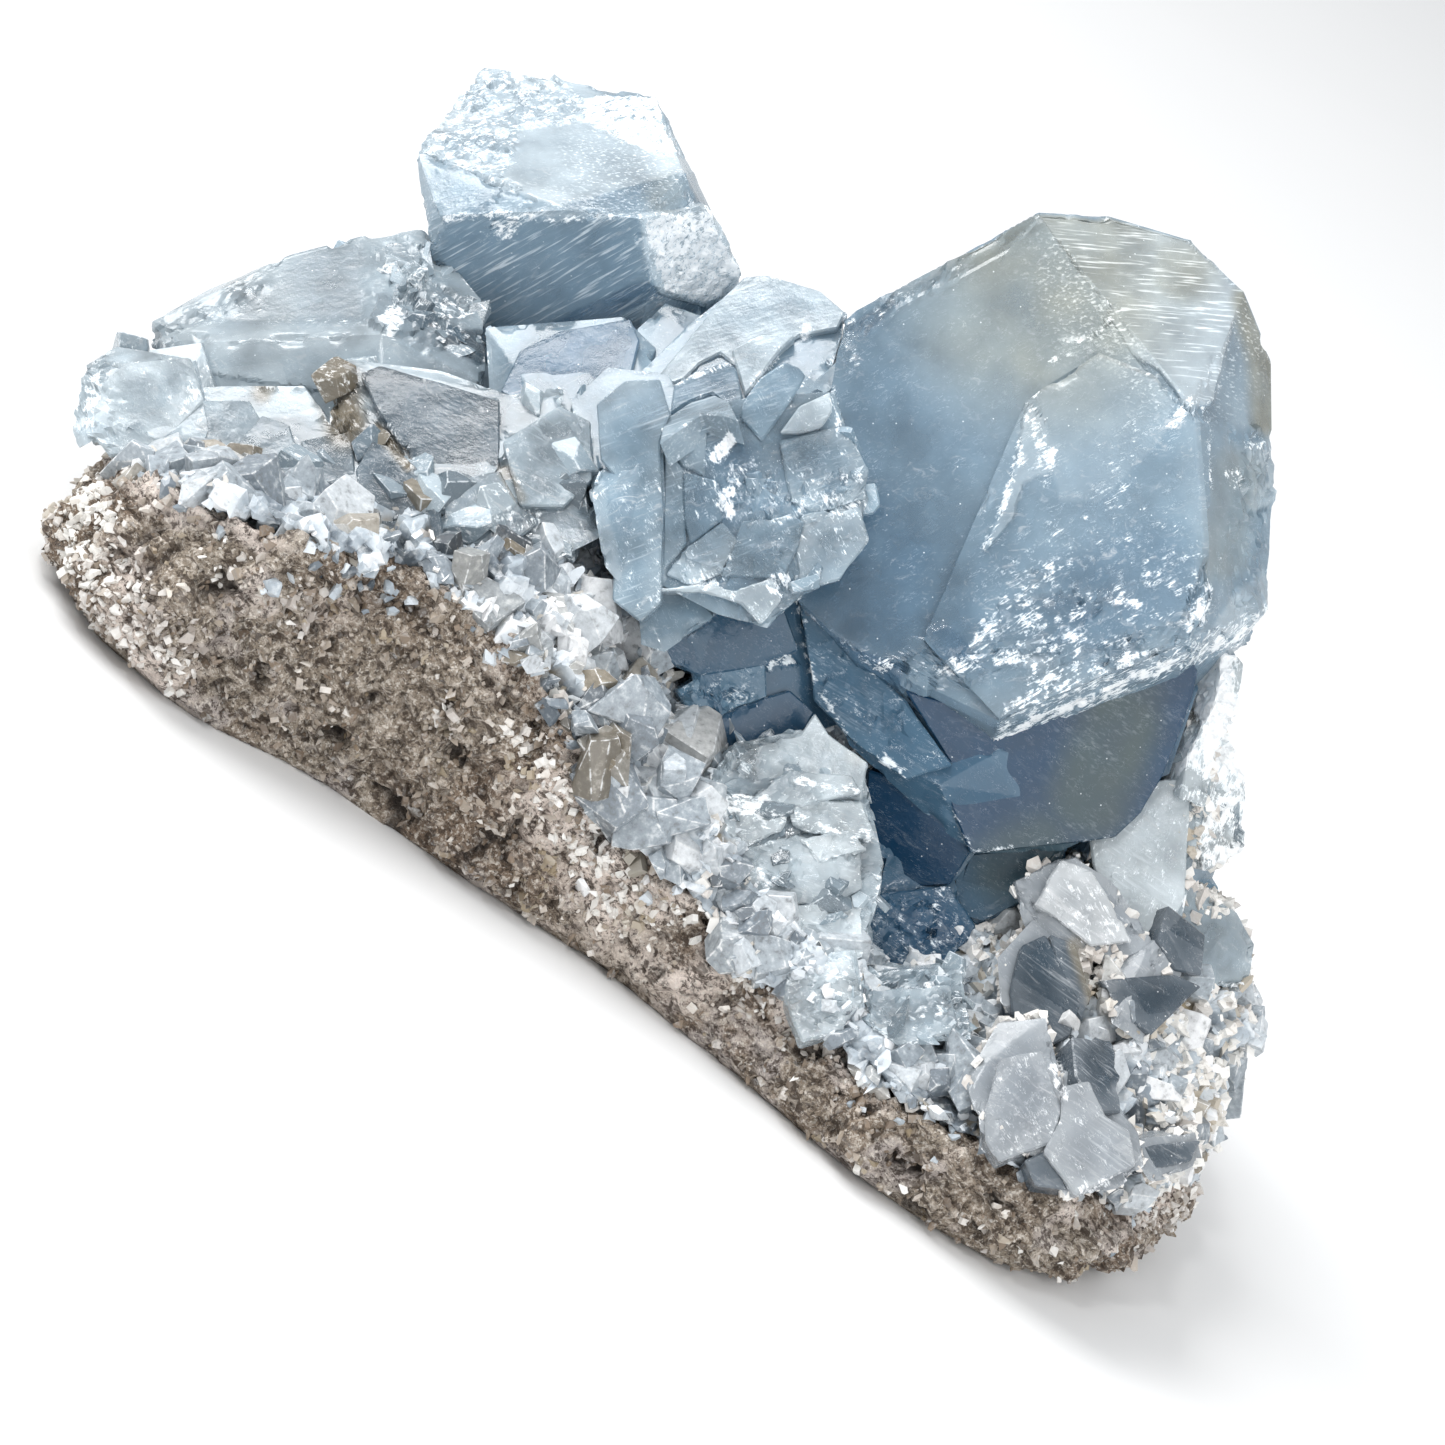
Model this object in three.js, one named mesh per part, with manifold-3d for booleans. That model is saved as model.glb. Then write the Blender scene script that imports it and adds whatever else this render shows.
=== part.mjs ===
// A celestite crystal cluster: a slab of geode rock, the crust of small crystals that lines it,
// and the large blue crystals that grew from the crust. Millimetres, +Z up, standing on the rock's flat base.
import * as THREE from 'three';
import { ConvexGeometry } from 'three/addons/geometries/ConvexGeometry.js';
import { SimplexNoise } from 'three/addons/math/SimplexNoise.js';
import { mergeVertices } from 'three/addons/utils/BufferGeometryUtils.js';
import Module from 'manifold-3d';

const wasm = await Module();
wasm.setup();

// How the specimen is looked at. Corners of crystals are given as they are seen from there.
const VIEW_ROLL = THREE.MathUtils.degToRad(35);
const VIEW_HEIGHT = THREE.MathUtils.degToRad(18);
const VIEW_DISTANCE = 420;
const MIDDLE = new THREE.Vector3(-2.3, 20, 14.2);

// Sizes of the rock and its crust.
const GAP = 0.3;
const BASE_INSET = 0.93;
const ROCK_MIDDLE_HEIGHT = 12;
const ROCK_ROUGHNESS = 1.3;
const CRUST_THICKNESS = 2.6;
const CRUST_EDGE = 0.9;
const STEPS_ROUND = 72;

// Small crystals of the crust.
const SMALL_CRYSTALS = 120;
const SMALL_WIDTH = [2.2, 5.2];

const levelRight = new THREE.Vector3(1, 0, 0);
const levelUp = new THREE.Vector3(0, Math.sin(VIEW_HEIGHT), Math.cos(VIEW_HEIGHT));
const ahead = new THREE.Vector3(0, Math.cos(VIEW_HEIGHT), -Math.sin(VIEW_HEIGHT));
const viewRight = levelRight.clone().multiplyScalar(Math.cos(VIEW_ROLL))
  .addScaledVector(levelUp, Math.sin(VIEW_ROLL));
const viewUp = levelUp.clone().multiplyScalar(Math.cos(VIEW_ROLL))
  .addScaledVector(levelRight, -Math.sin(VIEW_ROLL));
const eye = MIDDLE.clone().addScaledVector(ahead, -VIEW_DISTANCE);

// The point seen `right` and `up` of the view's middle that stands `back` behind the base's front edge.
function seen([right, up, back]) {
  const sight = ahead.clone().multiplyScalar(VIEW_DISTANCE)
    .addScaledVector(viewRight, right)
    .addScaledVector(viewUp, up);
  return eye.clone().addScaledVector(sight, (back - eye.y) / sight.y);
}

// Random numbers that are the same in every run.
function seeded(seed) {
  let state = seed;
  return () => {
    state = (state * 1664525 + 1013904223) % 4294967296;
    return state / 4294967296;
  };
}

const simplex = new SimplexNoise({ random: seeded(7) });
const noise = (p, size) => simplex.noise3d(p.x / size, p.y / size, p.z / size);

// Closed geometry to solid and back.

function solidOf(geometry) {
  const bare = new THREE.BufferGeometry();
  bare.setAttribute('position', geometry.getAttribute('position'));
  bare.setIndex(geometry.getIndex());
  const merged = mergeVertices(bare, 1e-4);
  return new wasm.Manifold(new wasm.Mesh({
    numProp: 3,
    vertProperties: merged.getAttribute('position').array,
    triVerts: new Uint32Array(merged.getIndex().array),
  }));
}

function geometryOf(solid) {
  const mesh = solid.getMesh();
  const positions = new Float32Array(mesh.numVert * 3);
  for (let i = 0; i < mesh.numVert; i++) {
    for (let k = 0; k < 3; k++) positions[3 * i + k] = mesh.vertProperties[mesh.numProp * i + k];
  }
  const geometry = new THREE.BufferGeometry();
  geometry.setAttribute('position', new THREE.BufferAttribute(positions, 3));
  geometry.setIndex(new THREE.BufferAttribute(new Uint32Array(mesh.triVerts), 1));
  return geometry.toNonIndexed();
}

const joined = (solids) => solids.reduce((sum, solid) => sum.add(solid));

// The largest piece of a solid, without the chips that a cut leaves beside it.
function largestPiece(solid) {
  return solid.decompose().sort((a, b) => b.volume() - a.volume())[0];
}

// Crystals are convex bodies, kept as their corner points.

const hull = (points) => solidOf(new ConvexGeometry(points));

function centreOf(points) {
  const sum = points.reduce((total, p) => total.add(p), new THREE.Vector3());
  return sum.divideScalar(points.length);
}

// A point that is seen at (right, up) and lies on a plane.
function seenOn(plane, right, up) {
  const onSight = seen([right, up, 0]);
  return new THREE.Ray(eye, onSight.sub(eye).normalize()).intersectPlane(plane, new THREE.Vector3());
}

// A crystal with flat faces. Three corners set each face, and a corner that starts with a face's name lies on it.
function facedCrystal({ faces, corners }) {
  const at = {};
  const face = {};
  for (const [name, corner] of Object.entries(corners)) {
    if (typeof corner[0] === 'number') at[name] = seen(corner);
  }
  for (const [name, three] of Object.entries(faces)) {
    for (const c of three.filter((c) => !at[c])) at[c] = seenOn(face[corners[c][0]], corners[c][1], corners[c][2]);
    face[name] = new THREE.Plane().setFromCoplanarPoints(...three.map((c) => at[c]));
    if (face[name].normal.dot(ahead) > 0) face[name].negate();
  }
  for (const [name, corner] of Object.entries(corners)) {
    if (!at[name]) at[name] = seenOn(face[corner[0]], corner[1], corner[2]);
  }
  return { face, points: Object.values(at) };
}

// A layer that stands proud of a face, as on a face that has partly split away.
function layerOn(plane, outline, proud) {
  return outline.flatMap(([right, up]) => {
    const p = seenOn(plane, right, up);
    return [p.clone().addScaledVector(plane.normal, proud), p.clone().addScaledVector(plane.normal, -2)];
  });
}

// A body seen as an outline of corners, which runs `depth` back and down and narrows on the way.
function bodyBehind(outline, depth, spread = 1.04, narrowing = 0.8) {
  const corners = outline.map(seen);
  const middle = centreOf(corners);
  const front = corners.map((p) => middle.clone().lerp(p, spread));
  const backwards = new THREE.Vector3(0, depth, -0.2 * depth);
  const rear = corners.map((p) => middle.clone().lerp(p, narrowing).add(backwards));
  return [...front, ...rear];
}

// An upright chisel-tipped crystal on its foot point: a broad prism with a sloping roof.
function chisel({ foot, height, width, thickness, lean = 0, leanTowards = 0, turn = 0, ridge = 0.55 }) {
  const w = width / 2;
  const t = thickness / 2;
  const shoulder = height - 0.55 * thickness;
  const points = [];
  for (const sx of [-1, 1]) {
    for (const sy of [-1, 1]) {
      points.push(new THREE.Vector3(0.85 * sx * w, 0.85 * sy * t, -3));
      points.push(new THREE.Vector3(sx * w, sy * t, shoulder * (1 - 0.12 * sx)));
    }
    points.push(new THREE.Vector3(sx * w * ridge, 0.15 * t, height));
  }
  const tilt = new THREE.Quaternion().setFromAxisAngle(
    new THREE.Vector3(-Math.sin(leanTowards), Math.cos(leanTowards), 0), lean);
  const spin = new THREE.Quaternion().setFromAxisAngle(new THREE.Vector3(0, 0, 1), turn);
  return points.map((p) => p.applyQuaternion(spin).applyQuaternion(tilt).add(new THREE.Vector3(...foot)));
}

// A body a little larger all round, to cut its neighbours clear of it.
function grown(points) {
  const middle = centreOf(points);
  const geometry = new ConvexGeometry(points);
  const corners = geometry.getAttribute('position');
  const triangle = [new THREE.Vector3(), new THREE.Vector3(), new THREE.Vector3()];
  let nearest = Infinity;
  for (let i = 0; i < corners.count; i += 3) {
    triangle.forEach((v, k) => v.fromBufferAttribute(corners, i + k));
    const plane = new THREE.Plane().setFromCoplanarPoints(...triangle);
    nearest = Math.min(nearest, Math.abs(plane.distanceToPoint(middle)));
  }
  const factor = 1 + (1.2 * GAP) / nearest;
  return hull(points.map((p) => middle.clone().lerp(p, factor)));
}

// The rock: [x, y, height of its rim] round the slab, from the left end along the front.
const ROCK_OUTLINE = [
  [-52.5, 14, 7.5], [-51.5, 3, 9], [-46.5, -6.5, 13], [-37, -9.5, 16.5], [-28, -5.5, 19], [-18, -4.5, 17.5],
  [-9, -4, 13.5], [2, -3.5, 9], [12, -5, 7.2], [24, -8, 7], [36, -7.3, 7.5], [43, -1.5, 7],
  [47.5, 9, 7], [47.5, 23, 8], [44, 35, 10], [36, 44, 12], [22, 50, 13],
  [5, 52, 13], [-14, 51, 13], [-32, 46, 12], [-44, 37, 10], [-50.5, 26, 8],
];
const outlineCurve = new THREE.CatmullRomCurve3(
  ROCK_OUTLINE.map((p) => new THREE.Vector3(...p)), true, 'centripetal');
const ROCK_CENTRE = new THREE.Vector3(-1, 22, 0);

// Rings of the rock's side from its foot to its rim: [share of the outline, share of the rim's height, roughness].
const SIDE_RINGS = [
  [BASE_INSET, 0, 0.5], [0.98, 0.13, 0.9], [1, 0.36, 1], [1, 0.6, 1], [0.985, 0.82, 1], [0.955, 1, 0.8],
];
const TOP_RINGS = [0.87, 0.76, 0.63, 0.49, 0.34, 0.17];
const RIM = SIDE_RINGS.length - 1;

// Rises and hollows of the rock's top: [x, y, radius, height].
const RISES = [[-20, 11, 14, 7.5], [38, 20, 13, 10], [14, 6, 10, -3], [25, -4, 11, -5], [-48, 14, 10, -3.5]];

function topHeight(x, y) {
  return RISES.reduce(
    (sum, [cx, cy, radius, height]) => sum + height * Math.exp(-((x - cx) ** 2 + (y - cy) ** 2) / radius ** 2),
    ROCK_MIDDLE_HEIGHT);
}

function rockRings() {
  const rim = outlineCurve.getSpacedPoints(STEPS_ROUND).slice(0, STEPS_ROUND);
  const side = SIDE_RINGS.map(([share, height, rough]) => rim.map((p) => {
    const q = ROCK_CENTRE.clone().lerp(p, share).setZ(p.z * height);
    const out = new THREE.Vector3(p.x, p.y, 0).sub(ROCK_CENTRE).normalize();
    const bump = noise(q, 13) + 0.6 * noise(q, 5) + 0.45 * noise(q, 2.4);
    return q.addScaledVector(out, rough * ROCK_ROUGHNESS * bump);
  }));
  const top = TOP_RINGS.map((share) => rim.map((p) => {
    const q = ROCK_CENTRE.clone().lerp(p, share);
    q.z = THREE.MathUtils.lerp(topHeight(q.x, q.y), p.z, share ** 10);
    q.z += ROCK_ROUGHNESS * 0.7 * (noise(q, 12) + 0.5 * noise(q, 5));
    return q;
  }));
  return [...side, ...top];
}

const rings = rockRings();
const topCentre = ROCK_CENTRE.clone().setZ(topHeight(ROCK_CENTRE.x, ROCK_CENTRE.y));

// The way out of the rock at a point of its rings.
function outwards(i, j) {
  const n = STEPS_ROUND;
  const before = rings[i][(j + n - 1) % n];
  const after = rings[i][(j + 1) % n];
  const below = rings[Math.max(i - 1, 0)][j];
  const above = rings[Math.min(i + 1, rings.length - 1)][j];
  return after.clone().sub(before).cross(above.clone().sub(below)).normalize();
}

const raised = (i, j, by) => rings[i][j].clone().addScaledVector(outwards(i, j), by);

// A closed skin over a stack of rings, with a point at each end.
function skinned(firstPoint, stack, lastPoint) {
  const n = STEPS_ROUND;
  const positions = [firstPoint, ...stack.flat(), lastPoint].flatMap((p) => p.toArray());
  const index = [];
  const at = (ring, j) => 1 + ring * n + (j % n);
  const last = 1 + stack.length * n;
  for (let j = 0; j < n; j++) {
    index.push(0, at(0, j + 1), at(0, j));
    index.push(last, at(stack.length - 1, j), at(stack.length - 1, j + 1));
    for (let i = 0; i + 1 < stack.length; i++) {
      index.push(at(i, j), at(i, j + 1), at(i + 1, j));
      index.push(at(i, j + 1), at(i + 1, j + 1), at(i + 1, j));
    }
  }
  const geometry = new THREE.BufferGeometry();
  geometry.setAttribute('position', new THREE.Float32BufferAttribute(positions, 3));
  geometry.setIndex(index);
  return geometry;
}

function rockSolid() {
  return solidOf(skinned(ROCK_CENTRE.clone(), rings, topCentre));
}

// The rock with everything above its rim raised, to cut crystals clear of what they stand on.
function raisedRock(by) {
  const stack = rings.map((ring, i) => ring.map((p, j) => (i === 0 ? p.clone() : raised(i, j, by))));
  return solidOf(skinned(ROCK_CENTRE.clone(), stack, topCentre.clone().setZ(topCentre.z + by)));
}

const crustAt = (ring) => (ring === RIM ? CRUST_EDGE : CRUST_THICKNESS);

// The crust before it is cut clear of the rock: a shell over the rock's top that thins out at the rim.
function crustShell() {
  const covered = rings.map((_, i) => i).slice(RIM);
  const inner = covered.map((i) => rings[i].map((_, j) => raised(i, j, -1))).reverse();
  const outer = covered.map((i) => rings[i].map((_, j) => raised(i, j, crustAt(i))));
  const under = topCentre.clone().setZ(topCentre.z - 1);
  const over = topCentre.clone().setZ(topCentre.z + CRUST_THICKNESS);
  return solidOf(skinned(under, [...inner, ...outer], over));
}

// A small block-like crystal that stands on the crust.
function smallCrystal(random) {
  const ring = RIM + Math.floor(random() ** 1.6 * (TOP_RINGS.length - 1));
  const j = Math.floor(random() * STEPS_ROUND);
  const width = THREE.MathUtils.lerp(...SMALL_WIDTH, random() ** 1.5);
  const out = outwards(ring, j);
  const foot = raised(ring, j, 0.5 * crustAt(ring));
  const points = chisel({
    foot: [0, 0, 0], width, thickness: width * (0.55 + 0.35 * random()),
    height: width * (0.5 + 0.55 * random()), turn: random() * Math.PI,
    lean: 0.7 * random(), leanTowards: random() * 2 * Math.PI,
  });
  const stand = new THREE.Quaternion().setFromUnitVectors(new THREE.Vector3(0, 0, 1), out);
  return points.map((p) => p.applyQuaternion(stand).add(foot));
}

// The crystals, as corners [right, up, back] seen from the front.

const large = facedCrystal({
  faces: {
    front: ['apex', 'lowerLeft', 'frontRight'],
    top: ['apex', 'fold', 'topRight'],
    side: ['fold', 'frontRight', 'rightHigh'],
  },
  corners: {
    apex: [24.3, 39.2, 24], lowerLeft: [5.7, 9.7, 11], frontRight: [37.5, 9.4, 14.5],
    leftShoulder: ['front', 9.4, 31.1], fold: ['front', 36.3, 23.9],
    topRight: [36, 37.1, 32], topMiddle: ['top', 29.8, 38.9], shoulder: ['top', 40, 33.1],
    rightHigh: [42.1, 27.9, 33], rightLow: ['side', 42.2, 17.1], rightBottom: ['side', 41.7, 8.7],
    bottomRight: ['front', 36, 6.3], bottomLeft: ['front', 9.8, 5.6], bottomMiddle: ['front', 14.8, 6],
    frontBottom: ['front', 21.3, 0.2],
    rootLeft: [11.3, 0.2, 26], root: [21.3, -9.8, 28], rootDeep: [18.3, -13.7, 30], rootRight: [31.3, -6, 30],
    backTop: [26, 37.1, 37], backLeft: [12.1, 29.4, 36], backRight: [39.8, 23.3, 38], backLow: [39, 9.4, 39],
  },
});

const SPLIT_LAYER = [
  [23.3, 24.4], [29, 27.9], [32.9, 26.3], [36.2, 23.8], [37.3, 9.4], [36, 6.3], [21.3, 0.3], [15.6, 6.3],
];
const largeCrystal = [large.points, layerOn(large.face.front, SPLIT_LAYER, 0.9)];

const upperCrystal = [facedCrystal({
  faces: {
    top: ['left', 'ridge', 'topRight'],
    dark: ['darkLeft', 'darkRight', 'darkFoot'],
  },
  corners: {
    left: [-23.4, 44, 32], ridge: [-12.1, 39.4, 26], topRight: [-5.2, 48.1, 42],
    ridgeLeft: ['top', -16.7, 41.3], right: ['top', -3, 42.1],
    topMiddle: ['top', -10.2, 48.4], topLeft: ['top', -18.3, 50.3],
    darkLeft: [-21.7, 39, 27.5], darkRight: [-6.3, 38.7, 25.5], darkFoot: [-17.1, 29, 30],
    darkEnd: ['dark', -5.6, 33.7], darkLow: ['dark', -11.3, 30.8], lowLeft: ['dark', -22.5, 36.3],
    bandRight: [-2.1, 39.6, 30], flank: [1, 35.4, 34], flankLow: [-1.3, 32.5, 32],
    backLeft: [-17.1, 47.9, 44], backRight: [-6.3, 46.3, 47], backFlank: [-2.5, 37.9, 43],
    backLow: [-19.4, 37.1, 42],
    root: [-9.4, 15.6, 40], rootLeft: [-14.8, 21, 37], rootRight: [-3.3, 23.3, 38],
  },
}).points];

const leftCrystal = [facedCrystal({
  faces: {
    front: ['foldLeft', 'foldRight', 'lowLeft'],
    upper: ['foldLeft', 'foldRight', 'crest'],
  },
  corners: {
    foldLeft: [-39, 29.2, 17], foldRight: [-26.3, 29.8, 18], lowLeft: [-40.2, 24, 14], crest: [-33.3, 35.7, 27],
    lowRight: ['front', -26.3, 23.3], crestRight: ['upper', -27.5, 37.1], tipTop: ['upper', -43.8, 30.8],
    tip: [-44, 29.4, 20], crestLeft: [-39.4, 33.3, 25], topRight: [-22.9, 37.7, 32],
    endRight: [-18.7, 32.5, 26], endLow: [-18.3, 26, 19],
    backLeft: [-41, 29.8, 31], backCrest: [-32.5, 33.7, 37], backRight: [-23.3, 35.6, 39],
    root: [-32.5, 17.9, 20], rootBack: [-29.4, 18.7, 36], rootRight: [-21, 18.7, 28],
  },
}).points];

const endCrystals = [
  bodyBehind([[-49, 27.3, 9], [-46.5, 28.7, 12], [-41, 27.7, 11], [-39.8, 22.5, 7], [-41.7, 18, 3],
    [-48.3, 18.4, 3], [-49.7, 22.5, 6]], 18),
  bodyBehind([[-44, 28.5, 14], [-40.2, 29, 15], [-39, 24.8, 12], [-41, 22.5, 9], [-44, 23.3, 9]], 14),
  bodyBehind([[-41.3, 25.2, 11], [-32.5, 25.4, 13], [-29.8, 21.7, 9], [-31.6, 16, 4], [-36.3, 14.6, 2],
    [-40.6, 17.5, 3]], 18, 1.08),
  bodyBehind([[-29.4, 27.5, 14], [-21.7, 26.5, 15], [-16.7, 24.7, 14], [-17, 21.3, 10], [-19.4, 16.5, 5],
    [-22.5, 13.1, 2], [-26, 14.8, 3], [-29.8, 18.7, 7]], 16, 1.08),
  bodyBehind([[-31.7, 21.7, 9], [-24, 20.2, 8], [-22.5, 15.6, 4], [-25.4, 12, 1], [-30.6, 14.8, 2]], 14, 1.08),
  bodyBehind([[-18.3, 24.4, 13], [-12.5, 25.2, 15], [-9, 21, 11], [-9.4, 14.8, 7], [-14, 12.5, 4.5],
    [-18.7, 17.1, 6]], 14, 1.08),
];

const centreCrystals = [
  bodyBehind([[-17.9, 30.2, 21], [-7.9, 31, 22], [-5.4, 28.7, 21], [-6, 26, 18], [-12.5, 22.9, 14],
    [-17.5, 24, 16]], 18),
  bodyBehind([[-6.3, 30.2, 24], [-4.4, 31.9, 26], [-1.7, 31, 26], [-2.3, 28.7, 23], [-6.3, 26.5, 20]], 10, 1.1),
  bodyBehind([[-11.3, 24.7, 15], [-8.7, 27, 17], [-4.4, 26.5, 17], [-3.4, 24, 15], [-6.3, 20, 11],
    [-9.8, 17.5, 8.5]], 14, 1.08),
  bodyBehind([[-6.3, 26.7, 18], [-1.7, 31, 22], [1.7, 33.7, 25], [3, 34.1, 26], [7.1, 33, 26], [9, 31.1, 24],
    [8.5, 26, 18.5], [6, 20, 13], [-5, 22, 13.5]], 15),
  bodyBehind([[-8.5, 20.6, 12], [-4.8, 22.7, 11], [2.1, 24.7, 11.5], [8.3, 25, 13.5], [10.8, 17.1, 11.5],
    [10.4, 15.2, 10.5], [6, 10.2, 6.5], [3.3, 7.7, 5], [-0.4, 8.7, 4.5], [-4.8, 11, 5.5], [-7.5, 14, 8]], 18),
  bodyBehind([[-6.3, 9.7, 5], [-1.3, 9.8, 7], [-0.8, 8.3, 6.5], [-4.4, 5.7, 3.5], [-6, 6.2, 3.5]], 10, 1.1),
  bodyBehind([[-9.4, 19, 8], [-4.8, 21, 9], [-4.4, 11.3, 5.5], [-6.3, 9, 4], [-9, 12.3, 3.5],
    [-9.8, 17.1, 5.5]], 14),
];

const darkCrystals = [
  bodyBehind([[5.6, 9.4, 13], [9.8, -1.7, 10], [16.7, -4.8, 9], [18.9, -10, 10.5], [26, -9.8, 13],
    [32.1, -6.9, 15], [34, -2.9, 17], [36.1, 2.5, 18], [35, 5.6, 18]], 16, 1),
  bodyBehind([[10.2, -3.7, 12], [17.1, -4.8, 12], [19.2, -9.8, 12.5], [17.1, -12.7, 11.5], [12.9, -12.1, 10.5],
    [10.6, -10, 10.5]], 14, 1.06),
  bodyBehind([[18.3, -9.4, 13], [26.3, -9.4, 14.5], [25.3, -12.3, 13.5], [21.3, -14.6, 12.5],
    [18.1, -16.1, 11]], 12, 1.06),
  bodyBehind([[-2.5, 6.3, 8.5], [2.9, 9.4, 12], [7.5, 8.7, 14.5], [9, 1.7, 14], [9, 0.2, 13],
    [1.3, -2, 8.5], [-1.7, -0.2, 8]], 14, 1.05),
  bodyBehind([[10.7, -11.5, 10], [17.5, -12.1, 11.5], [18.7, -16, 10], [16, -19.7, 8], [12.5, -19.4, 7],
    [10.7, -16.7, 7.5]], 9, 1.06),
  bodyBehind([[32.9, 0.8, 19], [36, 4.8, 21], [36.4, 2.5, 20], [34.3, -3.7, 18], [31.3, -4.8, 17]], 8, 1.06),
];

const fracturedCrystals = [
  bodyBehind([[-2.5, -6, 1.5], [1.3, -1.5, 6], [6, -1.7, 7.5], [10.7, -4, 7], [11, -8.3, 5.5], [12.5, -11.3, 4.5],
    [10.6, -16.7, 1.5], [8.3, -19, 0], [3.7, -18.3, -1], [-1.7, -13.7, -1.5], [-3.9, -9.8, -1.5]], 10, 1),
  bodyBehind([[1.3, -1.7, 6.4], [6, -0.6, 7.8], [10.7, -3.7, 7.4], [11.2, -8.3, 5.6], [6, -9, 4.8],
    [1, -6, 4]], 8, 1),
  bodyBehind([[6, -9.8, 4], [12.4, -11.2, 4.6], [11.8, -14, 4], [10.7, -16.9, 2.8], [6, -16, 1.8]], 8, 1),
  bodyBehind([[5.3, -18.5, -3], [9.8, -18, -1.5], [10.4, -21.7, -4], [6.3, -24.4, -6.5],
    [4.6, -21.3, -5.5]], 9, 1.15),
  bodyBehind([[12.5, -19.5, -0.5], [17.7, -19.4, 0.5], [18.3, -24, -3], [11.3, -24.4, -5], [6.8, -21.5, -4]], 9, 1.15),
];

const rightCrystals = [
  bodyBehind([[28.3, -9.8, 14], [31.3, -3, 18], [35.6, 3.3, 22], [39.2, 6.3, 25], [38.7, 1.7, 24],
    [37.3, -1.3, 22], [36.3, -9.8, 16], [35.2, -15.2, 13], [33.9, -18.4, 11], [30.6, -15.6, 12]], 12, 1),
  bodyBehind([[36.3, -1, 22], [38.7, -2.9, 24], [39.8, -6, 23], [39.7, -9.8, 22], [37.9, -11.2, 20],
    [35.2, -9.8, 17], [35.6, -5.2, 19]], 12, 1),
  bodyBehind([[34, -14, 14], [36.3, -12.9, 16], [39.4, -14.8, 18], [40.7, -17.1, 18], [40.2, -20.2, 17],
    [36, -20.2, 13]], 9, 1.06),
];

const rimCrystals = [
  bodyBehind([[21.5, -18.3, 5], [24, -15.6, 8], [26.7, -16, 9.5], [27.9, -19.8, 7], [26.7, -23.7, 4],
    [23.7, -23.7, 2.5], [21.7, -21.3, 3]], 10, 1.1),
  bodyBehind([[22.5, -12.5, 9], [25.2, -11.2, 11], [27.1, -10.7, 12], [30.6, -12.9, 12], [33.8, -16.7, 11],
    [29.4, -18.3, 8], [23.7, -16.3, 8]], 9, 1.05),
  bodyBehind([[29, -19.4, 8], [32.9, -17.3, 10], [35.2, -15.6, 12], [35.3, -18.3, 11], [34.4, -21.7, 9],
    [32.3, -24.3, 6], [30.2, -22.9, 5]], 9, 1.08),
  bodyBehind([[21.2, -23.2, -2], [24.8, -22.8, -1], [26.6, -29.8, -5.5], [26.1, -32.9, -7.5], [20.6, -34.1, -9.5],
    [19.7, -30.6, -8.5], [18.7, -27.5, -6.5]], 10, 1),
  bodyBehind([[26.1, -26.9, -3], [28.7, -27.9, -2.5], [31.7, -31.7, -4], [32.1, -34, -5], [30.2, -35.6, -7],
    [26.6, -36.3, -9], [24.8, -33.7, -8.5], [24.4, -29.8, -5.5]], 10, 1.05),
  bodyBehind([[31, -32.3, -3.5], [36.1, -31.8, 1], [36.6, -33.7, 0.5], [33.2, -35.3, -3.5]], 7, 1.1),
];

const degrees = THREE.MathUtils.degToRad;

// Crystals behind the large ones and along the rear edge: [x, y, height, width, turn in degrees].
const REAR_ROW = [
  [-47, 30, 9, 12, 60], [-40, 38, 13, 14, 35], [-29, 43, 17, 15, 20], [-17, 46, 19, 14, -15], [-6, 46, 24, 16, 12],
  [7, 47, 20, 15, -20], [18, 45, 18, 16, 10], [28, 41, 13, 14, -35],
  [-14, 38, 19, 12, 50], [-2, 37, 24, 13, 35], [25, 36, 14, 12, 25],
];
const rearCrystals = REAR_ROW.map(([x, y, height, width, turn]) => {
  const outward = Math.atan2(y - ROCK_CENTRE.y, x - ROCK_CENTRE.x);
  return chisel({
    foot: [x, y, topHeight(x, y) + 1], height, width, thickness: 0.7 * width,
    lean: degrees(22), leanTowards: outward, turn: degrees(turn),
  });
});

// Each group of crystals is one solid. A group is cut clear of the rock's crust and of the groups before it.
const GROUPS = {
  large_crystal: largeCrystal,
  upper_crystal: upperCrystal,
  left_crystal: leftCrystal,
  centre_crystals: centreCrystals,
  fractured_crystals: fracturedCrystals,
  dark_crystals: darkCrystals,
  right_crystals: rightCrystals,
  end_crystals: endCrystals,
  rim_crystals: rimCrystals,
  rear_crystals: rearCrystals,
};

const COLOURS = {
  matrix: 0x8a7c6c,
  crystal_crust: 0xb9bcba,
  large_crystal: 0x8fa5b3,
  upper_crystal: 0x9fb0c0,
  left_crystal: 0xa9bac0,
  centre_crystals: 0x8fa6b8,
  fractured_crystals: 0xb4c4cf,
  dark_crystals: 0x3f566b,
  right_crystals: 0xb5c6c8,
  end_crystals: 0x97a6b0,
  rim_crystals: 0x8d979f,
  rear_crystals: 0x93a7b5,
};

function part(name, solid) {
  const material = new THREE.MeshStandardMaterial({
    color: COLOURS[name],
    roughness: name === 'matrix' ? 0.95 : 0.3,
    metalness: 0,
  });
  const mesh = new THREE.Mesh(geometryOf(solid), material);
  mesh.name = name;
  return mesh;
}

function crystalParts() {
  const standingOn = raisedRock(CRUST_THICKNESS + GAP);
  let taken = standingOn;
  const parts = [];
  for (const [name, bodies] of Object.entries(GROUPS)) {
    const whole = joined(bodies.map(hull)).subtract(taken);
    parts.push(part(name, largestPiece(whole)));
    taken = taken.add(joined(bodies.map(grown)));
  }
  return { parts, taken };
}

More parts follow.
